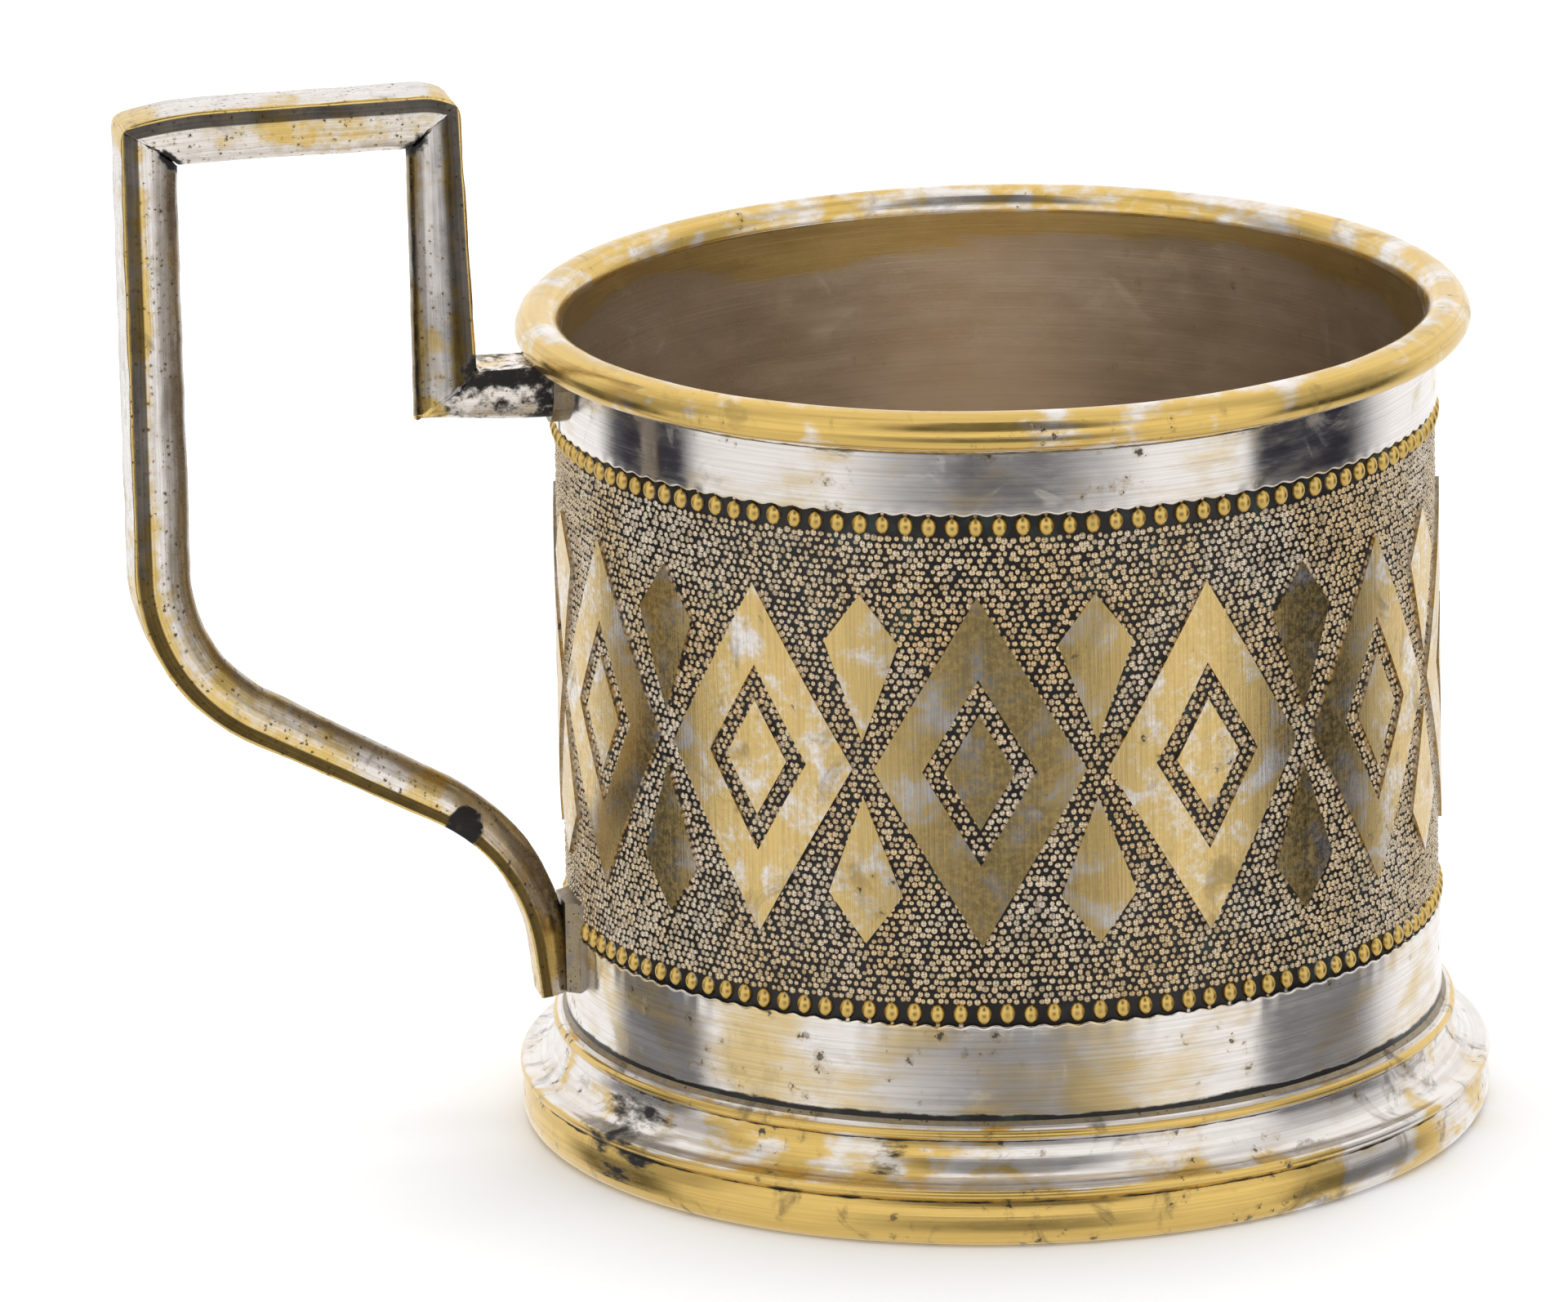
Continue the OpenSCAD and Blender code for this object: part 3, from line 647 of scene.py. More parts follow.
class HOLDER_OT_rim(bpy.types.Operator):
    """Model the rolled rim with its rounded corner and thin lip"""
    bl_idname = "holder.rim"
    bl_label = "Rim"

    def execute(self, context):
        s = context.scene.holder_body
        outer, centre_z = SLEEVE_HIGH.x, SLEEVE_HIGH.z
        corner_x = RIM_HIGH.x - s.rim_corner_r
        lip_x, lip_top = outer + s.rim_lip_w, RIM_LOW.z + s.rim_lip_h
        outline = arc((s.bore_r + s.rim_r, centre_z), s.rim_r, s.rim_r, 180, 0, 28)
        outline += arc((corner_x, centre_z), s.rim_corner_r, s.rim_corner_r, -8, -72, 8)
        outline += arc((lip_x + 0.5 * MM, lip_top + 0.35 * MM), 0.5 * MM, 0.35 * MM, 230, 200, 3)
        outline += arc((lip_x - 0.14 * MM, RIM_LOW.z + 0.15 * MM), 0.14 * MM, 0.15 * MM, 60, -80, 4)
        outline += [(outer, RIM_LOW.z), (outer, centre_z)]
        piece = spin_outline("rim_roll", outline, TURN_STEPS)
        make_uneven(piece, 0.05 * MM, 9 * MM)
        write_attribute(piece, "worn", lambda v: 0.22 * smooth(37 * MM, 38.6 * MM, radius_of(v.co)))
        # Darker towards the rim's lowest edge
        write_attribute(piece, "grime_and_shade_mask", lambda v: 0.7 * smooth(RIM_LOW.z + 0.25 * MM, RIM_LOW.z, v.co.z))
        finish_piece(piece, "worn_rim", [rim_brass()], "rim_ring")
        return {"FINISHED"}


class HOLDER_OT_foot(bpy.types.Operator):
    """Model the hollow foot ring with its step, lip, cove, ridge and lower band"""
    bl_idname = "holder.foot"
    bl_label = "Foot"

    def execute(self, context):
        s = context.scene.holder_body
        outer, top, reach = SLEEVE_HIGH.x, FOOT_HIGH.z, FOOT_HIGH.x
        neck_z = s.ridge_z - s.ridge_r - s.quirk_h
        band = (reach - s.band_inset - s.band_bulge, neck_z * 0.44)
        band_h = (neck_z - band[1]) / math.sin(math.radians(60))
        ridge = (reach - s.ridge_r, s.ridge_z)
        lip = (outer + s.foot_lip_stand - s.foot_lip_r, top - s.step_h - s.foot_lip_r)
        cove = (ridge[0], lip[1] - s.foot_lip_r)
        hollow_r = band[0] + s.band_bulge / 2 - s.foot_wall
        outline = arc(band, s.band_bulge, band[1], -90, 0, 12)
        outline += arc(band, s.band_bulge, band_h, 6, 60, 8)
        outline += arc(ridge, s.ridge_r, s.ridge_r, -60, 90, 12)
        outline += arc(cove, lip[0] - cove[0], s.ridge_z + s.ridge_r - cove[1], 84, 0, 22)
        outline += arc(lip, s.foot_lip_r, s.foot_lip_r, -80, 90, 12)
        outline += [(outer + s.step_w, top - s.step_h), (outer + s.step_w, top), (outer, top)]
        outline += [(outer, s.collar_low), (outer + s.foot_wall, s.collar_low)]
        outline += [(outer + s.foot_wall, s.ridge_z - s.ridge_r), (hollow_r, s.ridge_z - s.ridge_r)]
        outline += [(hollow_r, s.foot_wall), (hollow_r - s.foot_turn_in, s.foot_wall)]
        outline += [(hollow_r - s.foot_turn_in, 0)]
        piece = spin_outline("foot_moulding", outline, TURN_STEPS)
        make_uneven(piece, 0.05 * MM, 11 * MM)
        for vertex in piece.data.vertices:
            vertex.co.z = max(0, vertex.co.z)

        def bare(vertex):
            level = vertex.co.z
            on_lip = smooth(lip[1] - 0.3 * MM, lip[1] + 0.1 * MM, level)
            on_ridge = 1 - smooth(s.ridge_z + 0.05 * MM, s.ridge_z + 0.5 * MM, level)
            turn = turn_of(vertex.co)
            in_cove = 0.5 * max(0, math.cos(turn - s.gold_side)) ** 6 - 0.22
            if level > top - s.step_h * 1.1:
                return 0.0
            on_band = 0.75 - 0.62 * smooth(-0.1, 0.7, math.cos(turn))
            return max(in_cove, on_lip, on_band * on_ridge)

        # Darkening of the foot: painted shade in the groove under the ridge and in the cove's top corner
        # under the lip, darkest against the sleeve on the step, and dark stains on the bare side
        def grime_and_shade(vertex):
            radius, level = radius_of(vertex.co), vertex.co.z
            quirk = smooth(0.35 * MM, 0.05 * MM, abs(level - neck_z - s.quirk_h / 2))
            corner = smooth(0.3 * MM, 0.0, abs(level - cove[1])) * smooth(lip[0] + 0.6 * MM, lip[0], radius)
            step = 0.9 * smooth(0.4 * MM, 0.1 * MM, radius - outer)
            off = math.degrees(turn_of(vertex.co) - s.gold_side)
            blotch = 0.5 * smooth(14, 2, abs(off + 25)) * (level > MM)
            blotch += 0.44 * smooth(5, 1, abs(off - 13)) * (level > s.ridge_z + 2 * s.ridge_r)
            blotch *= level < cove[1]
            return max(0.8 * quirk, 0.8 * corner, step if level > lip[1] else 0.0, blotch)

        write_attribute(piece, "worn", bare)
        write_attribute(piece, "grime_and_shade_mask", grime_and_shade)
        finish_piece(piece, "worn_foot", [foot_brass()], "foot_ring")
        return {"FINISHED"}


def on_sleeve(name, pattern, places, ground, dirt_and_shade):
    """Copies a flat pattern onto the sleeve, once for each place, and joins the copies in one piece.

    A place is turn, level, width, height, depth and spin, with the sizes as scales of the pattern. The last
    argument is how far up the pattern the darkening at its foot reaches, grime with painted shade, as a share
    of its height."""
    mesh = pattern.data
    flat = np.empty(len(mesh.vertices) * 3)
    mesh.vertices.foreach_get("co", flat)
    flat = flat.reshape(-1, 3)
    corners = np.empty(len(mesh.loops), int)
    mesh.loops.foreach_get("vertex_index", corners)
    starts = np.empty(len(mesh.polygons), int)
    mesh.polygons.foreach_get("loop_start", starts)
    turn, level, wide, high, deep, spin = (column[:, None] for column in np.array(places, float).T)
    across = (flat[:, 0] * np.cos(spin) - flat[:, 1] * np.sin(spin)) * wide
    up = (flat[:, 0] * np.sin(spin) + flat[:, 1] * np.cos(spin)) * high
    angle = turn + across / ground
    radius = ground + flat[:, 2] * deep
    points = np.stack([radius * np.cos(angle), radius * np.sin(angle), level + up], axis=-1)
    count = np.arange(len(places))[:, None]
    joined = bpy.data.meshes.new(name)
    joined.vertices.add(points.size // 3)
    joined.vertices.foreach_set("co", points.ravel())
    joined.loops.add(corners.size * len(places))
    joined.loops.foreach_set("vertex_index", (corners + count * len(flat)).ravel())
    joined.polygons.add(starts.size * len(places))
    joined.polygons.foreach_set("loop_start", (starts + count * corners.size).ravel())
    joined.update(calc_edges=True)
    joined.validate()
    # Darker towards each copy's foot: grime and painted shade where it meets the ground
    heights = joined.attributes.new("grime_and_shade_mask", "FLOAT", "POINT")
    share = flat[:, 2] / max(flat[:, 2].max(), MERGE)
    heights.data.foreach_set("value", np.tile(np.clip(1 - share / dirt_and_shade, 0, 1), len(places)))
    piece = bpy.data.objects.new(name, joined)
    bpy.context.scene.collection.objects.link(piece)
    return piece


def dome(name, sides, rings):
    """Half a ball of radius 1 on a flat base, sunk a little, for beads and pebbles."""
    deselect()
    bpy.ops.mesh.primitive_uv_sphere_add(segments=sides, ring_count=rings, radius=1)
    piece = name_piece(name)
    edit_all()
    bpy.ops.mesh.bisect(plane_co=(0, 0, 0), plane_no=(0, 0, 1), use_fill=True, clear_inner=True)
    bpy.ops.mesh.select_all(action="SELECT")
    bpy.ops.transform.translate(value=(0, 0, -0.08))
    close_mesh()
    return piece


def remove_pattern(pattern):
    bpy.data.meshes.remove(pattern.data)


def lozenge_reach(across, up, half_w, half_h):
    """1 on the edge of a lozenge, less inside it."""
    return abs(across) / half_w + abs(up) / half_h


def relief_layout(context):
    """Ground radius, middle level, step, half width and half height of the lozenges, with the shares of
    that size which the inside of the strap and the raised centre have."""
    s = context.scene.holder_relief
    ground = SLEEVE_HIGH.x - context.scene.holder_body.ground_depth
    step = math.tau / s.figure_count
    half_w = ground * math.sin(step / 2) - s.figure_gap / 2
    half_h = (FIGURES_HIGH.z - FIGURES_LOW.z) / 2
    middle = (FIGURES_HIGH.z + FIGURES_LOW.z) / 2
    slant = math.hypot(half_w, half_h) / (half_w * half_h)
    inner = 1 - s.strap_w * slant
    return ground, middle, step, half_w, half_h, inner, inner - s.figure_gap * slant


# A dart's half width, foot and shoulder, as shares of a lozenge's half width and half height
DART_W, DART_FOOT, DART_SHOULDER = 0.36, 0.16, 0.72


class HOLDER_OT_beads(bpy.types.Operator):
    """Model the two rows of struck beads"""
    bl_idname = "holder.beads"
    bl_label = "Bead rows"

    def execute(self, context):
        s = context.scene.holder_relief
        ground = SLEEVE_HIGH.x - context.scene.holder_body.ground_depth
        bead = dome("bead_pattern", 14, 12)
        chance = random.Random(BEAD_SEED)
        gap = math.asin((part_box("tip_solder")[1].y + s.bead_w / 2) / ground)
        rows = (
            ("bead_row_upper", "upper_bead_row", BEADS_LOW, BEADS_HIGH, 0.0),
            ("bead_row_lower", "lower_bead_row", LOWER_BEADS_LOW, LOWER_BEADS_HIGH, gap),
        )
        material = bead_brass()
        for name, node, low, high, clear in rows:
            level = (low.z + high.z) / 2
            places = []
            for i in range(s.bead_count):
                turn = math.tau * i / s.bead_count
                if abs(turn - math.pi) >= clear:
                    size = 1 + 0.05 * chance.uniform(-1, 1)
                    shift = 0.05 * MM * chance.uniform(-1, 1)
                    places.append((turn, level + shift, s.bead_w / 2 * size, s.bead_h / 2 * size,
                                   s.bead_depth, 0.12 * chance.uniform(-1, 1)))
            piece = on_sleeve(name, bead, places, ground, 0.2)
            write_attribute(piece, "worn", lambda v: smooth(0.1 * MM, 0.35 * MM, radius_of(v.co) - ground))
            finish_piece(piece, "bead_brass", [material], node, angle=60)
        remove_pattern(bead)
        return {"FINISHED"}


class HOLDER_OT_pebbles(bpy.types.Operator):
    """Strew the punched pebbles over the ground between the figures"""
    bl_idname = "holder.pebbles"
    bl_label = "Pebbled ground"

    def execute(self, context):
        s = context.scene.holder_relief
        body = context.scene.holder_body
        ground, middle, step, half_w, half_h, inner, centre = relief_layout(context)
        pebble = dome("pebble_pattern", 8, 4)
        chance = random.Random(PEBBLE_SEED)
        columns = round(math.tau * ground / s.pebble_pitch)
        rise = s.pebble_pitch * math.sqrt(3) / 2
        low = body.relief_low + s.bead_h + MARGIN
        rows = int((body.relief_high - s.bead_h - MARGIN - low) / rise)
        places = [[], [], [], []]
        for row in range(rows + 1):
            for column in range(columns):
                turn = math.tau * (column + 0.5 * (row % 2) + chance.uniform(-JITTER, JITTER)) / columns
                level = low + rise * (row + chance.uniform(-JITTER, JITTER))
                size = chance.uniform(0.76, 1.12)
                long = chance.uniform(0.9, 1.12)
                depth = chance.uniform(0.8, 1.15)
                spin = chance.uniform(0, math.pi)
                up = level - middle
                lozenge_x = ((turn / step) % 1 - 0.5) * step * ground
                dart_x = ((turn / step + 0.5) % 1 - 0.5) * step * ground
                across = lozenge_reach(lozenge_x, up, half_w, half_h)
                on_strap = inner + 0.04 < across < 0.97 or across < centre - 0.04
                height = abs(up) / half_h
                if height > DART_SHOULDER:
                    dart_share = (1 - height) / (1 - DART_SHOULDER)
                else:
                    dart_share = (height - DART_FOOT) / (DART_SHOULDER - DART_FOOT)
                on_dart = abs(dart_x) < DART_W * half_w * dart_share - 0.2 * MM
                if not (on_strap or on_dart):
                    half = s.pebble_w / 2 * size
                    places[int(turn / math.tau * 4) % 4].append(
                        (turn, level, half * long, half / long, s.pebble_h * depth, spin))
        material = pebble_brass()
        for quarter, found in zip(("right_back", "left_back", "left_front", "right_front"), places):
            piece = on_sleeve("pebbles_" + quarter, pebble, found, ground, 0.55)
            per = len(pebble.data.vertices)
            tones = np.array([chance.uniform(0.52, 1) for _ in found])
            layer = piece.data.attributes.new("tone_and_shade", "FLOAT", "POINT")
            layer.data.foreach_set("value", np.repeat(tones, per))
            finish_piece(piece, "relief_brass", [material], angle=60)
        remove_pattern(pebble)
        return {"FINISHED"}


def start_figure(name, half_w, half_h):
    deselect()
    bpy.ops.mesh.primitive_circle_add(vertices=4, radius=1, fill_type="NGON")
    piece = name_piece(name)
    edit_all()
    bpy.ops.transform.resize(value=(half_w, half_h, 1))
    return piece


def raise_figure(piece, depth, edge, half_w):
    """Extrudes a flat figure, rounds its upper edges and cuts it so that it can follow the sleeve."""
    bpy.ops.mesh.select_all(action="SELECT")
    bpy.ops.transform.translate(value=(0, 0, -SUNK))
    bpy.ops.mesh.extrude_region_move(TRANSFORM_OT_translate={"value": (0, 0, depth + SUNK)})
    bpy.ops.mesh.select_all(action="SELECT")
    bpy.ops.mesh.normals_make_consistent(inside=False)
    pick_faces(piece, lambda f: f.normal.z > 0.9)
    bpy.ops.mesh.region_to_loop()
    bpy.ops.mesh.bevel(offset=edge, segments=3, profile=0.5, affect="EDGES")
    cuts = max(3, round(half_w / MM))
    for i in range(1, 2 * cuts):
        bpy.ops.mesh.select_all(action="SELECT")
        bpy.ops.mesh.bisect(plane_co=(half_w * (i / cuts - 1), 0, 0), plane_no=(1, 0, 0))
    close_mesh()


class HOLDER_OT_figures(bpy.types.Operator):
    """Model the raised lozenge straps, their centres and the darts between them"""
    bl_idname = "holder.figures"
    bl_label = "Raised figures"

    def execute(self, context):
        s = context.scene.holder_relief
        ground, middle, step, half_w, half_h, _, centre = relief_layout(context)
        strap = start_figure("strap_pattern", half_w, half_h)
        bpy.ops.mesh.inset(thickness=s.strap_w)
        bpy.ops.mesh.delete(type="FACE")
        raise_figure(strap, s.figure_t, s.figure_edge, half_w)
        boss = start_figure("boss_pattern", half_w * centre, half_h * centre)
        raise_figure(boss, s.figure_t, s.figure_edge, half_w * centre)
        dart_h = half_h * (1 - DART_FOOT) / 2
        dart = start_figure("dart_pattern", half_w * DART_W, dart_h)
        bpy.ops.mesh.select_all(action="DESELECT")
        shape = bmesh.from_edit_mesh(dart.data)
        for vertex in shape.verts:
            vertex.select_set(abs(vertex.co.y) < dart_h / 2)
        bmesh.update_edit_mesh(dart.data)
        shoulder = half_h * (DART_SHOULDER - (1 + DART_FOOT) / 2)
        bpy.ops.transform.translate(value=(0, shoulder, 0))
        raise_figure(dart, s.figure_t, s.figure_edge, half_w * DART_W)
        material = figure_brass()
        turns = [step * (i + 0.5) for i in range(s.figure_count)]
        middle_dart = half_h * (1 + DART_FOOT) / 2
        rows = (
            ("lozenge_straps", "lozenge_frames", strap, [(t, middle, 1, 1, 1, 0) for t in turns]),
            ("lozenge_bosses", "lozenge_centres", boss, [(t, middle, 1, 1, 1, 0) for t in turns]),
            ("dart_points", "darts", dart, [
                (t - step / 2, middle + side * middle_dart, 1, 1, 1, 0 if side > 0 else math.pi)
                for t in turns for side in (1, -1)
            ]),
        )
        for name, node, pattern, places in rows:
            piece = on_sleeve(name, pattern, places, ground, 0.45)
            crest = ground + s.figure_t - 0.35 * s.figure_edge
            # Plate kept on the bevels and sides below the crest: silver edges, which also stand in for the
            # bright edge highlight
            write_attribute(piece, "worn", lambda v, crest=crest: (
                -0.8 if radius_of(v.co) < crest else 0.0))
            finish_piece(piece, "relief_brass", [material], node, angle=30)
            remove_pattern(pattern)
        return {"FINISHED"}


def bar_section(width, depth, side, edge):
    """Section of the bar: a flat face with worn edges, flat sides, and a crown set off by an angle."""
    half = width / 2
    right = arc((half - edge, edge), edge, edge, 270, 360, 4)
    right += [(half, edge * 1.2), (half, side - edge / 2), (half - edge * 0.08, side + edge * 0.05)]
    right += [(half - edge * 0.3, side + edge * 0.6), (half * 0.9, side + depth * 0.17)]
    start = (half * 0.845, side + depth * 0.25)
    pull, top_pull, crown = (half * 0.7, depth * 0.73), (half * 0.55, depth), (0, depth)
    right.append(start)
    for i in range(1, 11):
        t = i / 10
        weights = ((1 - t) ** 3, 3 * t * (1 - t) ** 2, 3 * t * t * (1 - t), t ** 3)
        right.append(tuple(
            sum(w * p[k] for w, p in zip(weights, (start, pull, top_pull, crown))) for k in (0, 1)))
    left = [(-x, y) for x, y in reversed(right[:-1])]
    return [(0, 0)] + right + left


def straight_bar(name, reach, step, handle):
    """A straight bar along Z, a ring every step, with its section in X and Y."""
    section = bar_section(handle.bar_w, handle.bar_d, handle.side_d, handle.edge_r)
    piece = draw_outline(name, [(x, y, 0) for x, y in section])
    bpy.ops.mesh.edge_face_add()
    bpy.ops.mesh.extrude_region_move(TRANSFORM_OT_translate={"value": (0, 0, reach)})
    shape = bmesh.from_edit_mesh(piece.data)
    for edge in shape.edges:
        edge.select_set(abs(edge.verts[0].co.z - edge.verts[1].co.z) > reach / 2)
    bmesh.update_edit_mesh(piece.data)
    bpy.ops.mesh.subdivide_edgering(number_cuts=round(reach / step) - 1)
    close_mesh()
    write_attribute(piece, "depth", lambda v: v.co.y)
    return piece


def lay(piece, rule):
    """Puts each vertex where rule says, from its place across, its depth and its place along the bar."""
    for vertex in piece.data.vertices:
        vertex.co = rule(*vertex.co)


def cut(piece, point, normal):
    """Cuts a piece with a plane, drops what lies on the normal's side and closes it."""
    select_only(piece)
    edit_all()
    bpy.ops.mesh.bisect(plane_co=point, plane_no=normal, use_fill=True, clear_outer=True)
    bpy.ops.object.mode_set(mode="OBJECT")


def right_way_out(piece):
    select_only(piece)
    edit_all()
    close_mesh()


def round_corner(piece, centre, radius, side):
    """Draws what sticks out past a rounded corner back onto it. side is -1 at the handle's outer corner."""
    for vertex in piece.data.vertices:
        out, up = side * (vertex.co.x - centre[0]), vertex.co.z - centre[1]
        far = math.hypot(out, up)
        if out > 0 and up > 0 and far > radius:
            vertex.co.x = centre[0] + side * out * radius / far
            vertex.co.z = centre[1] + up * radius / far


def settle_ends(piece, h, left, right, top):
    """Lets the flat face of the top bar sink towards both ends, as wear leaves it."""
    for vertex in piece.data.vertices:
        near_left = clamp(1 - (vertex.co.x - left) / h.left_wear)
        near_right = clamp(1 - (right - vertex.co.x) / h.right_wear)
        drop = h.left_drop * near_left ** 2 + h.right_drop * near_right ** 2
        vertex.co.z -= drop * smooth(top - h.bar_d, top - h.edge_r, vertex.co.z)


def file_down(piece, h, inner_x, stub_top, top):
    """Thins the inner upright towards its top and the stub towards its corner, as they were filed."""
    for vertex in piece.data.vertices:
        across = clamp((vertex.co.x + inner_x + h.bar_d) / h.bar_d)
        height = clamp((vertex.co.z - stub_top) / (top - stub_top))
        under = clamp((stub_top - vertex.co.z) / h.bar_d)
        near_corner = smooth(SLEEVE_HIGH.x + 2 * MM, inner_x + h.bar_d, -vertex.co.x)
        if -vertex.co.x < inner_x + 2 * h.bar_d:
            vertex.co.x -= h.upright_thin * across * height
            vertex.co.z += h.stub_thin * under * near_corner


def grip_path(h):
    """Length of the grip's flat face from its top to its tip, a function that gives the distance from the
    axis, the level and the fall at a place along it, and the two places between which the bar tapers."""
    start = Vector((-GRIP_LOW.x, TOP_HIGH.z + h.bar_d))
    bend_r, heel_r, slope, plumb = h.grip_bend_r, h.heel_bend_r, h.grip_slope, math.radians(90)
    tip = Vector((SLEEVE_HIGH.x + h.tip_stand, FOOT_HIGH.z + h.tip_gap))
    heel = tip + h.tip_l * Vector((math.cos(h.heel_turn), math.sin(h.heel_turn)))
    heel_centre = heel + heel_r * Vector((math.sin(h.heel_turn), -math.cos(h.heel_turn)))
    low = heel_centre - heel_r * Vector((math.sin(slope), -math.cos(slope)))
    across = start.x - bend_r * (1 - math.sin(slope)) - low.x
    high = low + across * Vector((1, math.tan(slope)))
    bend_centre = Vector((start.x - bend_r, high.y + bend_r * math.cos(slope)))

    def straight(begin, fall, s):
        return begin.x - s * math.cos(fall), begin.y - s * math.sin(fall), fall

    def bend(centre, radius, fall):
        return centre.x + radius * math.sin(fall), centre.y - radius * math.cos(fall), fall

    stretches = [
        (start.y - bend_centre.y, lambda s: straight(start, plumb, s)),
        (bend_r * (plumb - slope), lambda s: bend(bend_centre, bend_r, plumb - s / bend_r)),
        (across / math.cos(slope), lambda s: straight(high, slope, s)),
        (heel_r * (h.heel_turn - slope), lambda s: bend(heel_centre, -heel_r, slope + s / heel_r)),
        (h.tip_l, lambda s: straight(heel, h.heel_turn, s)),
    ]
    total = sum(reach_s for reach_s, _ in stretches)

    def at(s):
        for reach_s, rule in stretches:
            if s <= reach_s:
                return rule(max(0, s))
            s -= reach_s
        return stretches[-1][1](stretches[-1][0] + s)

    return total, at, stretches[0][0], total - h.tip_l


def mitre(corner, outwards, gap, flip):
    """A point and a normal of the face where a bar meets the filler of its corner."""
    normal = Vector((outwards, 0, -1)).normalized() * flip
    point = Vector((corner[0], 0, corner[1])) - normal * gap / 2
    return point, normal


class HOLDER_OT_handle(bpy.types.Operator):
    """Model the four bars of the handle and the filler in their mitres"""
    bl_idname = "holder.handle"
    bl_label = "Handle"

    def execute(self, context):
        h = context.scene.holder_handle
        top, reach = TOP_HIGH.z, -GRIP_LOW.x
        inner_x = -UPRIGHT_HIGH.x
        stub_top = STUB_HIGH.z
        grip_corner = (-reach, top)
        top_corner = (-inner_x, top)
        stub_corner = (-inner_x, stub_top)
        grip_round = (-reach + h.corner_r, top - h.corner_r)
        top_round = (-inner_x - h.corner_r, top - h.corner_r)
        total, path, taper_from, taper_to = grip_path(h)
        over = h.bar_d  # each bar runs past its corner by its depth, and the mitre cuts it there

        def grip_rule(x, y, s):
            distance, level, fall = path(s)
            share = clamp((s - taper_from) / (taper_to - taper_from))
            wide = 1 + (h.tip_w / h.bar_w - 1) * share
            deep = 1 + (h.tip_d / h.bar_d - 1) * share
            return Vector((y * deep * math.sin(fall) - distance, x * wide, level + y * deep * math.cos(fall)))

        def top_rule(x, y, s):
            return Vector((-reach - over + s, x, top - y))

        def upright_rule(x, y, s):
            return Vector((-inner_x - y, x, stub_top - 2 * over + s))

        def stub_rule(x, y, s):
            return Vector((-inner_x - 2 * over + s, x, stub_top - y))

        def mitred(name, rule, span, cuts, rounds):
            piece = straight_bar(name, span, RING_STEP, h)
            lay(piece, rule)
            right_way_out(piece)
            for corner, outwards, flip in cuts:
                cut(piece, *mitre(corner, outwards, h.braze_t, flip))
            for centre, side in rounds:
                round_corner(piece, centre, h.corner_r, side)
            settle_ends(piece, h, -reach, -inner_x, top)
            if name != "grip_bar":
                file_down(piece, h, inner_x, stub_top, top)
            return piece

        apart = reach - inner_x
        post_h = top - stub_top
        stub_l = inner_x - SLEEVE_HIGH.x + 0.4 * MM
        bars = [
            (mitred("grip_bar", grip_rule, total, [(grip_corner, -1, -1)],
                    [(grip_round, -1)]), "handle_grip"),
            (mitred("top_bar", top_rule, apart + 2 * over, [(grip_corner, -1, 1), (top_corner, 1, 1)],
                    [(grip_round, -1), (top_round, 1)]), "handle_top_bar"),
            (mitred("inner_upright_bar", upright_rule, post_h + 3 * over,
                    [(top_corner, 1, -1), (stub_corner, 1, 1)], [(top_round, 1)]), "handle_upright"),
            (mitred("stub_bar", stub_rule, 2 * over + stub_l, [(stub_corner, 1, -1)], []), "handle_stub"),
        ]
        stub_end = Vector((-inner_x - over, stub_top - over))
        line_low, line_high, facet_low = h.edge_r * 0.1, h.edge_r * 1.05, h.edge_r * 1.15

        def crevice(node, place, depth, across):
            """Grime in the mitres, painted shade over the stub, darkest on its side facet and next to the
            sleeve, and darkening low on the upright, over the burnt spot and by the tip.
            """
            black = 0.0
            for corner, outwards in ((grip_corner, -1), (top_corner, 1)):
                off = abs((place.x - corner[0]) * outwards - (place.y - corner[1])) / math.sqrt(2)
                inside = (place - Vector(corner)).length
                deep = smooth(3.2 * MM, 5.6 * MM, inside) * smooth(9 * MM, 7.5 * MM, inside)
                black = max(black, 0.8 * smooth(1.2 * MM, 0, off) * deep)
            # Painted shade: the stub darker all over, most on its side facet and next to the sleeve
            if node == "handle_stub":
                near_rim = smooth(STUB_HIGH.x - 5 * MM, STUB_HIGH.x - 1.5 * MM, place.x)
                on_side = smooth(h.side_d + 0.8 * MM, h.side_d - 0.3 * MM, depth) * (depth > line_low)
                return max(0.42 + 0.2 * on_side, 0.62 * near_rim)
            if node in ("handle_upright", "stub_corner_braze"):
                black = max(black, 0.7 * smooth(2.4 * MM, 0.5 * MM, (place - Vector(stub_corner)).length))
            if node == "handle_upright":
                black = max(black, 0.26 * smooth(stub_top + 24 * MM, stub_top + 2 * MM, place.y))
            if node == "handle_grip":
                spot = math.hypot(place.x + h.spot_x, place.y - h.spot_z)
                black = max(black, 0.78 * smooth(h.spot_r * 1.35, h.spot_r * 0.85, spot) * (across < 0))
                black = max(black, 0.4 * smooth(-38.6 * MM, -37 * MM, place.x))
            return black

        def bare(node, place, depth):
            """Where the brass shows: along worn edges, at corners, on the lower grip and on crowns."""
            flat = depth < h.edge_r * 0.3
            low = smooth(62 * MM, 34 * MM, place.y) if node == "handle_grip" else 0
            line = 1.0 if line_low < depth < line_high and node != "handle_stub" else 0.0
            if node in ("handle_grip", "handle_upright") and abs(depth - h.side_d) < 0.2 * MM:
                line = 0.4
            near_end = min((place - Vector(end)).length for end in (grip_corner, top_corner))
            corner = smooth(4.5 * MM, 1.2 * MM, near_end) if flat else 0
            heel = smooth(3.6 * MM, 1.8 * MM, (place - stub_end).length)
            crown = 0.4 * smooth(h.bar_d - 1.1 * MM, h.bar_d - 0.3 * MM, depth) * (node == "handle_upright")
            lined = 0.2 * smooth(1.6 * MM, 0.6 * MM, abs(depth - 2.3 * MM)) * (node == "handle_top_bar")
            on_facet = facet_low < depth < h.side_d
            return max(line, corner, heel, crown, lined, low * (0.85 if flat else 0.65 if on_facet else 0.3))

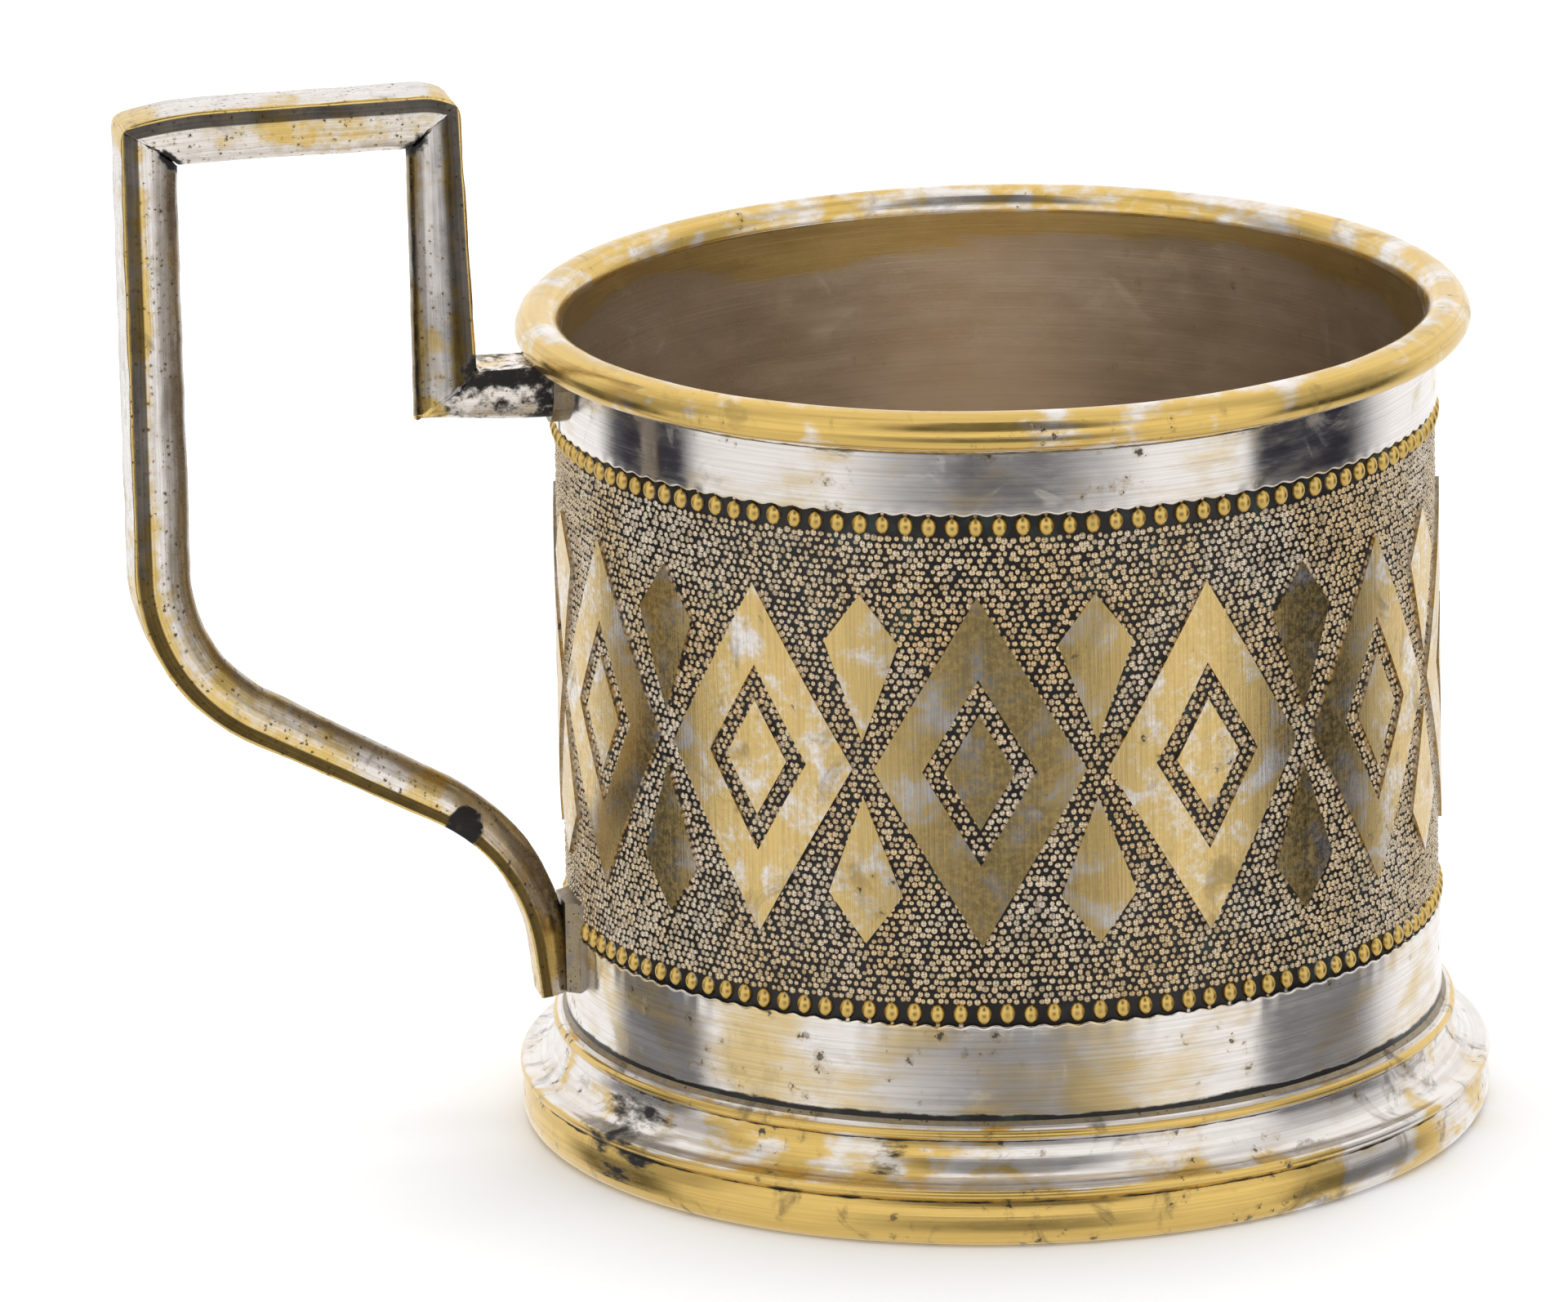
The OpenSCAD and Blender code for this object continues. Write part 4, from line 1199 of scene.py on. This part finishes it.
        def shade(node, depth):
            """Painted shade and highlight: dark side facets, bright shoulders, a darker crown, and a dimmed
            flat face on the top bar.
            """
            side, rise = h.side_d, 0.9 * MM
            if node == "handle_upright":
                side, rise = side + 0.5 * MM, 1.4 * MM
            if facet_low < depth < side - 0.05 * MM:
                return 0.0
            if depth <= line_low and node == "handle_top_bar":
                return 0.66
            inner = {"handle_grip": 0.4, "handle_upright": 0.2}.get(node, 0.95)
            shoulder = {"handle_grip": 0.75, "handle_upright": 0.85}.get(node, 0.92)
            return shoulder + (inner - shoulder) * smooth(side + rise, side + rise + 0.6 * MM, depth)

        def dress(piece, node, slot, material):
            depths = [item.value for item in piece.data.attributes["depth"].data]
            write_attribute(piece, "grime_and_shade_mask", lambda v: crevice(node, v.co.xz, depths[v.index], v.co.y))
            write_attribute(piece, "worn", lambda v: bare(node, v.co.xz, depths[v.index]))
            # Painted shade and highlight across each bar's section
            write_attribute(piece, "tone_and_shade", lambda v: shade(node, depths[v.index]))
            finish_piece(piece, slot, [material], node, angle=34)

        material = handle_plate()
        inside_wall = SLEEVE_HIGH.x - 0.1 * MM
        for piece, node in bars:
            if node == "handle_stub":
                for vertex in piece.data.vertices:
                    vertex.co.x *= max(1, inside_wall / radius_of(vertex.co))
            make_uneven(piece, 0.09 * MM, 3.4 * MM)
            make_uneven(piece, 0.03 * MM, 0.9 * MM)
            dress(piece, node, "worn_handle", material)
        fillers = (
            ("filler_grip_corner", "grip_corner_braze", top_rule, over, grip_corner, -1, grip_round),
            ("filler_top_corner", "top_corner_braze", top_rule, apart, top_corner, 1, top_round),
            ("filler_stub_corner", "stub_corner_braze", upright_rule, over, stub_corner, 1, None),
        )
        filed = corner_filler()
        for name, node, rule, start, corner, outwards, rounding in fillers:
            piece = straight_bar(name, over + 2 * MM, RING_STEP, h)
            for vertex in piece.data.vertices:
                sink = smooth(2 * MM, 4 * MM, vertex.co.y) if rounding else 0
                vertex.co.x *= 1 - 0.06 * sink
                vertex.co.y -= 0.3 * MM * sink
            lay(piece, lambda x, y, s, rule=rule, start=start: rule(x, y, s + start - MM))
            right_way_out(piece)
            for flip in (1, -1):
                cut(piece, *mitre(corner, outwards, -h.braze_t, flip))
            if rounding:
                round_corner(piece, rounding, h.corner_r, outwards)
                settle_ends(piece, h, -reach, -inner_x, top)
            file_down(piece, h, inner_x, stub_top, top)
            dress(piece, node, "dark_solder", filed)
        return {"FINISHED"}


class HOLDER_OT_solder(bpy.types.Operator):
    """Give the solder joints and the glass seat their finish"""
    bl_idname = "holder.solder"
    bl_label = "Solder and seat"

    def execute(self, context):
        bright = solder_metal("grey_solder", 0.5)
        dark = solder_metal("pitted_solder", 1.0)
        for name in ("rim_solder", "foot_solder", "seat_solder", "seam_solder"):
            dress_node(name, dark)
        for name in ("stub_solder", "tip_solder"):
            dress_node(name, bright)
        dress_node("glass_seat", inner_plate("tarnished_seat_plate", "", ""))
        return {"FINISHED"}


# Azimuth from the camera in degrees and brightness of the studio: below the horizon, above it, and high up
ROOM_LOW = (
    (-180, 1.1), (-126, 1.1), (-119, 0.12), (-112, 0.04), (-90, 0.04), (-83, 1.0), (-42, 1.0), (-26, 0.5),
    (-9, 0.16), (14, 0.2), (28, 0.6), (40, 1.05), (67, 1.05), (71, 0.04), (104, 0.03), (110, 0.3),
    (117, 0.8), (126, 1.1), (180, 1.1),
)
ROOM_MIDDLE = (
    (-180, 1.15), (-122, 1.1), (-108, 0.7), (-98, 0.5), (-78, 0.5), (-70, 1.15), (67, 1.15), (74, 0.5),
    (102, 0.5), (112, 0.8), (124, 1.1), (180, 1.15),
)
ROOM_HIGH = (
    (-180, 1.15), (-122, 1.1), (-98, 0.8), (-78, 0.8), (-60, 1.1), (-42, 1.1), (-24, 0.14), (24, 0.12),
    (42, 1.1), (64, 1.1), (78, 0.8), (98, 0.8), (124, 1.1), (180, 1.15),
)
ROOM_BLUE = 0.012  # added to the blue of the studio, a trace cooler than white
ZENITH, GLOW = (1.1, 1.1, 1.1, 1), (0.92, 0.91, 0.9, 1)  # straight up, and from the floor
FLOOR_SIZE, LAMP_SIZE, LAMP_PLACE = 4, 1.2, (0.1, 0.25, 1.1)
SENSOR_WIDTH, CLIP_END = 36, 20  # of the camera, in millimetres and metres


class HOLDER_OT_stage(bpy.types.Operator):
    """Make the floor, the studio light and the camera"""
    bl_idname = "holder.stage"
    bl_label = "Stage"

    def execute(self, context):
        s = context.scene.holder_stage
        scene = context.scene
        scene.view_settings.view_transform = "Standard"
        deselect()
        bpy.ops.mesh.primitive_plane_add(size=FLOOR_SIZE)
        floor = name_piece("floor")
        material = bpy.data.materials.new("pale_floor")
        material.use_nodes = True
        paint = material.node_tree.nodes["Principled BSDF"]
        paint.inputs["Base Color"].default_value = rgba(scene.holder_colours.floor)
        paint.inputs["Roughness"].default_value = 0.9
        floor.data.materials.append(material)
        floor.visible_glossy = False

        world = bpy.data.worlds.new("white_studio")
        scene.world = world
        world.use_nodes = True
        tree = world.node_tree
        tree.nodes.clear()
        view = add(tree, "TexCoord").outputs["Generated"]
        angle = math.radians(90) + s.camera_turn
        turned = add(tree, "VectorRotate", {"Vector": view, "Angle": angle}, rotation_type="Z_AXIS")
        x, y, z = add(tree, "SeparateXYZ", {0: turned}).outputs
        azimuth = add(tree, "Math", {0: y, 1: x}, operation="ARCTAN2")
        position = add(tree, "Math", {0: azimuth, 1: 1 / math.tau, 2: 0.5}, operation="MULTIPLY_ADD")
        rings = []
        for stops in (ROOM_LOW, ROOM_MIDDLE, ROOM_HIGH):
            ramp = add(tree, "ValToRGB", {0: position})
            elements = ramp.color_ramp.elements
            for place, _ in stops[1:-1]:
                elements.new((place + 180) / 360)
            for element, (_, light) in zip(elements, stops):
                element.color = (light, light, light + ROOM_BLUE, 1)
            rings.append(ramp)
        shade = rings[0]
        for low, high, light in (
                (-0.08, 0.08, rings[1]), (0.44, 0.56, rings[2]), (0.97, 0.99, ZENITH), (-0.34, -0.6, GLOW)):
            share = add(tree, "MapRange", {0: z, 1: low, 2: high}, **SMOOTH)
            shade = add(tree, "Mix", {0: share, 6: shade, 7: light}, **COLOURS).outputs[2]
        back = add(tree, "Background", {"Color": shade, "Strength": 1.0})
        add(tree, "OutputWorld", {"Surface": back})

        deselect()
        bpy.ops.object.light_add(type="AREA", location=LAMP_PLACE)
        lamp = bpy.context.object
        lamp.name = "overhead_softbox"
        lamp.data.shape = "SQUARE"
        lamp.data.size = LAMP_SIZE
        lamp.data.energy = s.overhead_power
        lamp.visible_glossy = False

        e, t = s.camera_rise, s.camera_turn
        forward = Vector((math.cos(e) * math.sin(t), math.cos(e) * math.cos(t), -math.sin(e)))
        right = Vector((math.cos(t), -math.sin(t), 0))
        up = right.cross(forward)
        tilted_right = math.cos(s.camera_roll) * right - math.sin(s.camera_roll) * up
        tilted_up = math.sin(s.camera_roll) * right + math.cos(s.camera_roll) * up
        aim = Vector((-s.aim_out * math.cos(t), s.aim_out * math.sin(t), s.aim_up))
        deselect()
        bpy.ops.object.camera_add()
        camera = bpy.context.object
        camera.name = "camera"
        turn = Matrix((tilted_right, tilted_up, -forward)).transposed().to_4x4()
        camera.matrix_world = Matrix.Translation(aim - forward * s.camera_far) @ turn
        camera.data.sensor_width = SENSOR_WIDTH
        camera.data.lens = s.camera_lens
        camera.data.clip_end = CLIP_END
        scene.camera = camera
        return {"FINISHED"}


class HOLDER_PT_panel(bpy.types.Panel):
    """Lists the holder's pieces"""
    bl_label = "Tea Glass Holder"
    bl_space_type = "VIEW_3D"
    bl_region_type = "UI"
    bl_category = "Tea Glass Holder"

    def draw(self, context):
        for operator in OPERATORS:
            self.layout.operator(operator.bl_idname)
        for group in GROUPS:
            settings = getattr(context.scene, group)
            for name in settings.bl_rna.properties.keys():
                if name not in {"rna_type", "name"}:
                    self.layout.prop(settings, name)


GROUPS = {
    "holder_body": HOLDER_body_sizes,
    "holder_relief": HOLDER_relief_sizes,
    "holder_handle": HOLDER_handle_sizes,
    "holder_colours": HOLDER_colours,
    "holder_stage": HOLDER_stage_sizes,
}
OPERATORS = (
    HOLDER_OT_sleeve, HOLDER_OT_rim, HOLDER_OT_foot, HOLDER_OT_beads, HOLDER_OT_pebbles,
    HOLDER_OT_figures, HOLDER_OT_handle, HOLDER_OT_solder, HOLDER_OT_stage,
)


def register():
    for name, group in GROUPS.items():
        bpy.utils.register_class(group)
        setattr(bpy.types.Scene, name, PointerProperty(type=group))
    for operator in OPERATORS:
        bpy.utils.register_class(operator)
    bpy.utils.register_class(HOLDER_PT_panel)


def unregister():
    bpy.utils.unregister_class(HOLDER_PT_panel)
    for operator in reversed(OPERATORS):
        bpy.utils.unregister_class(operator)
    for name, group in reversed(GROUPS.items()):
        delattr(bpy.types.Scene, name)
        bpy.utils.unregister_class(group)


def main():
    register()
    for operator in OPERATORS:
        group, name = operator.bl_idname.split(".")
        getattr(getattr(bpy.ops, group), name)()


if __name__ == "__main__":
    main()
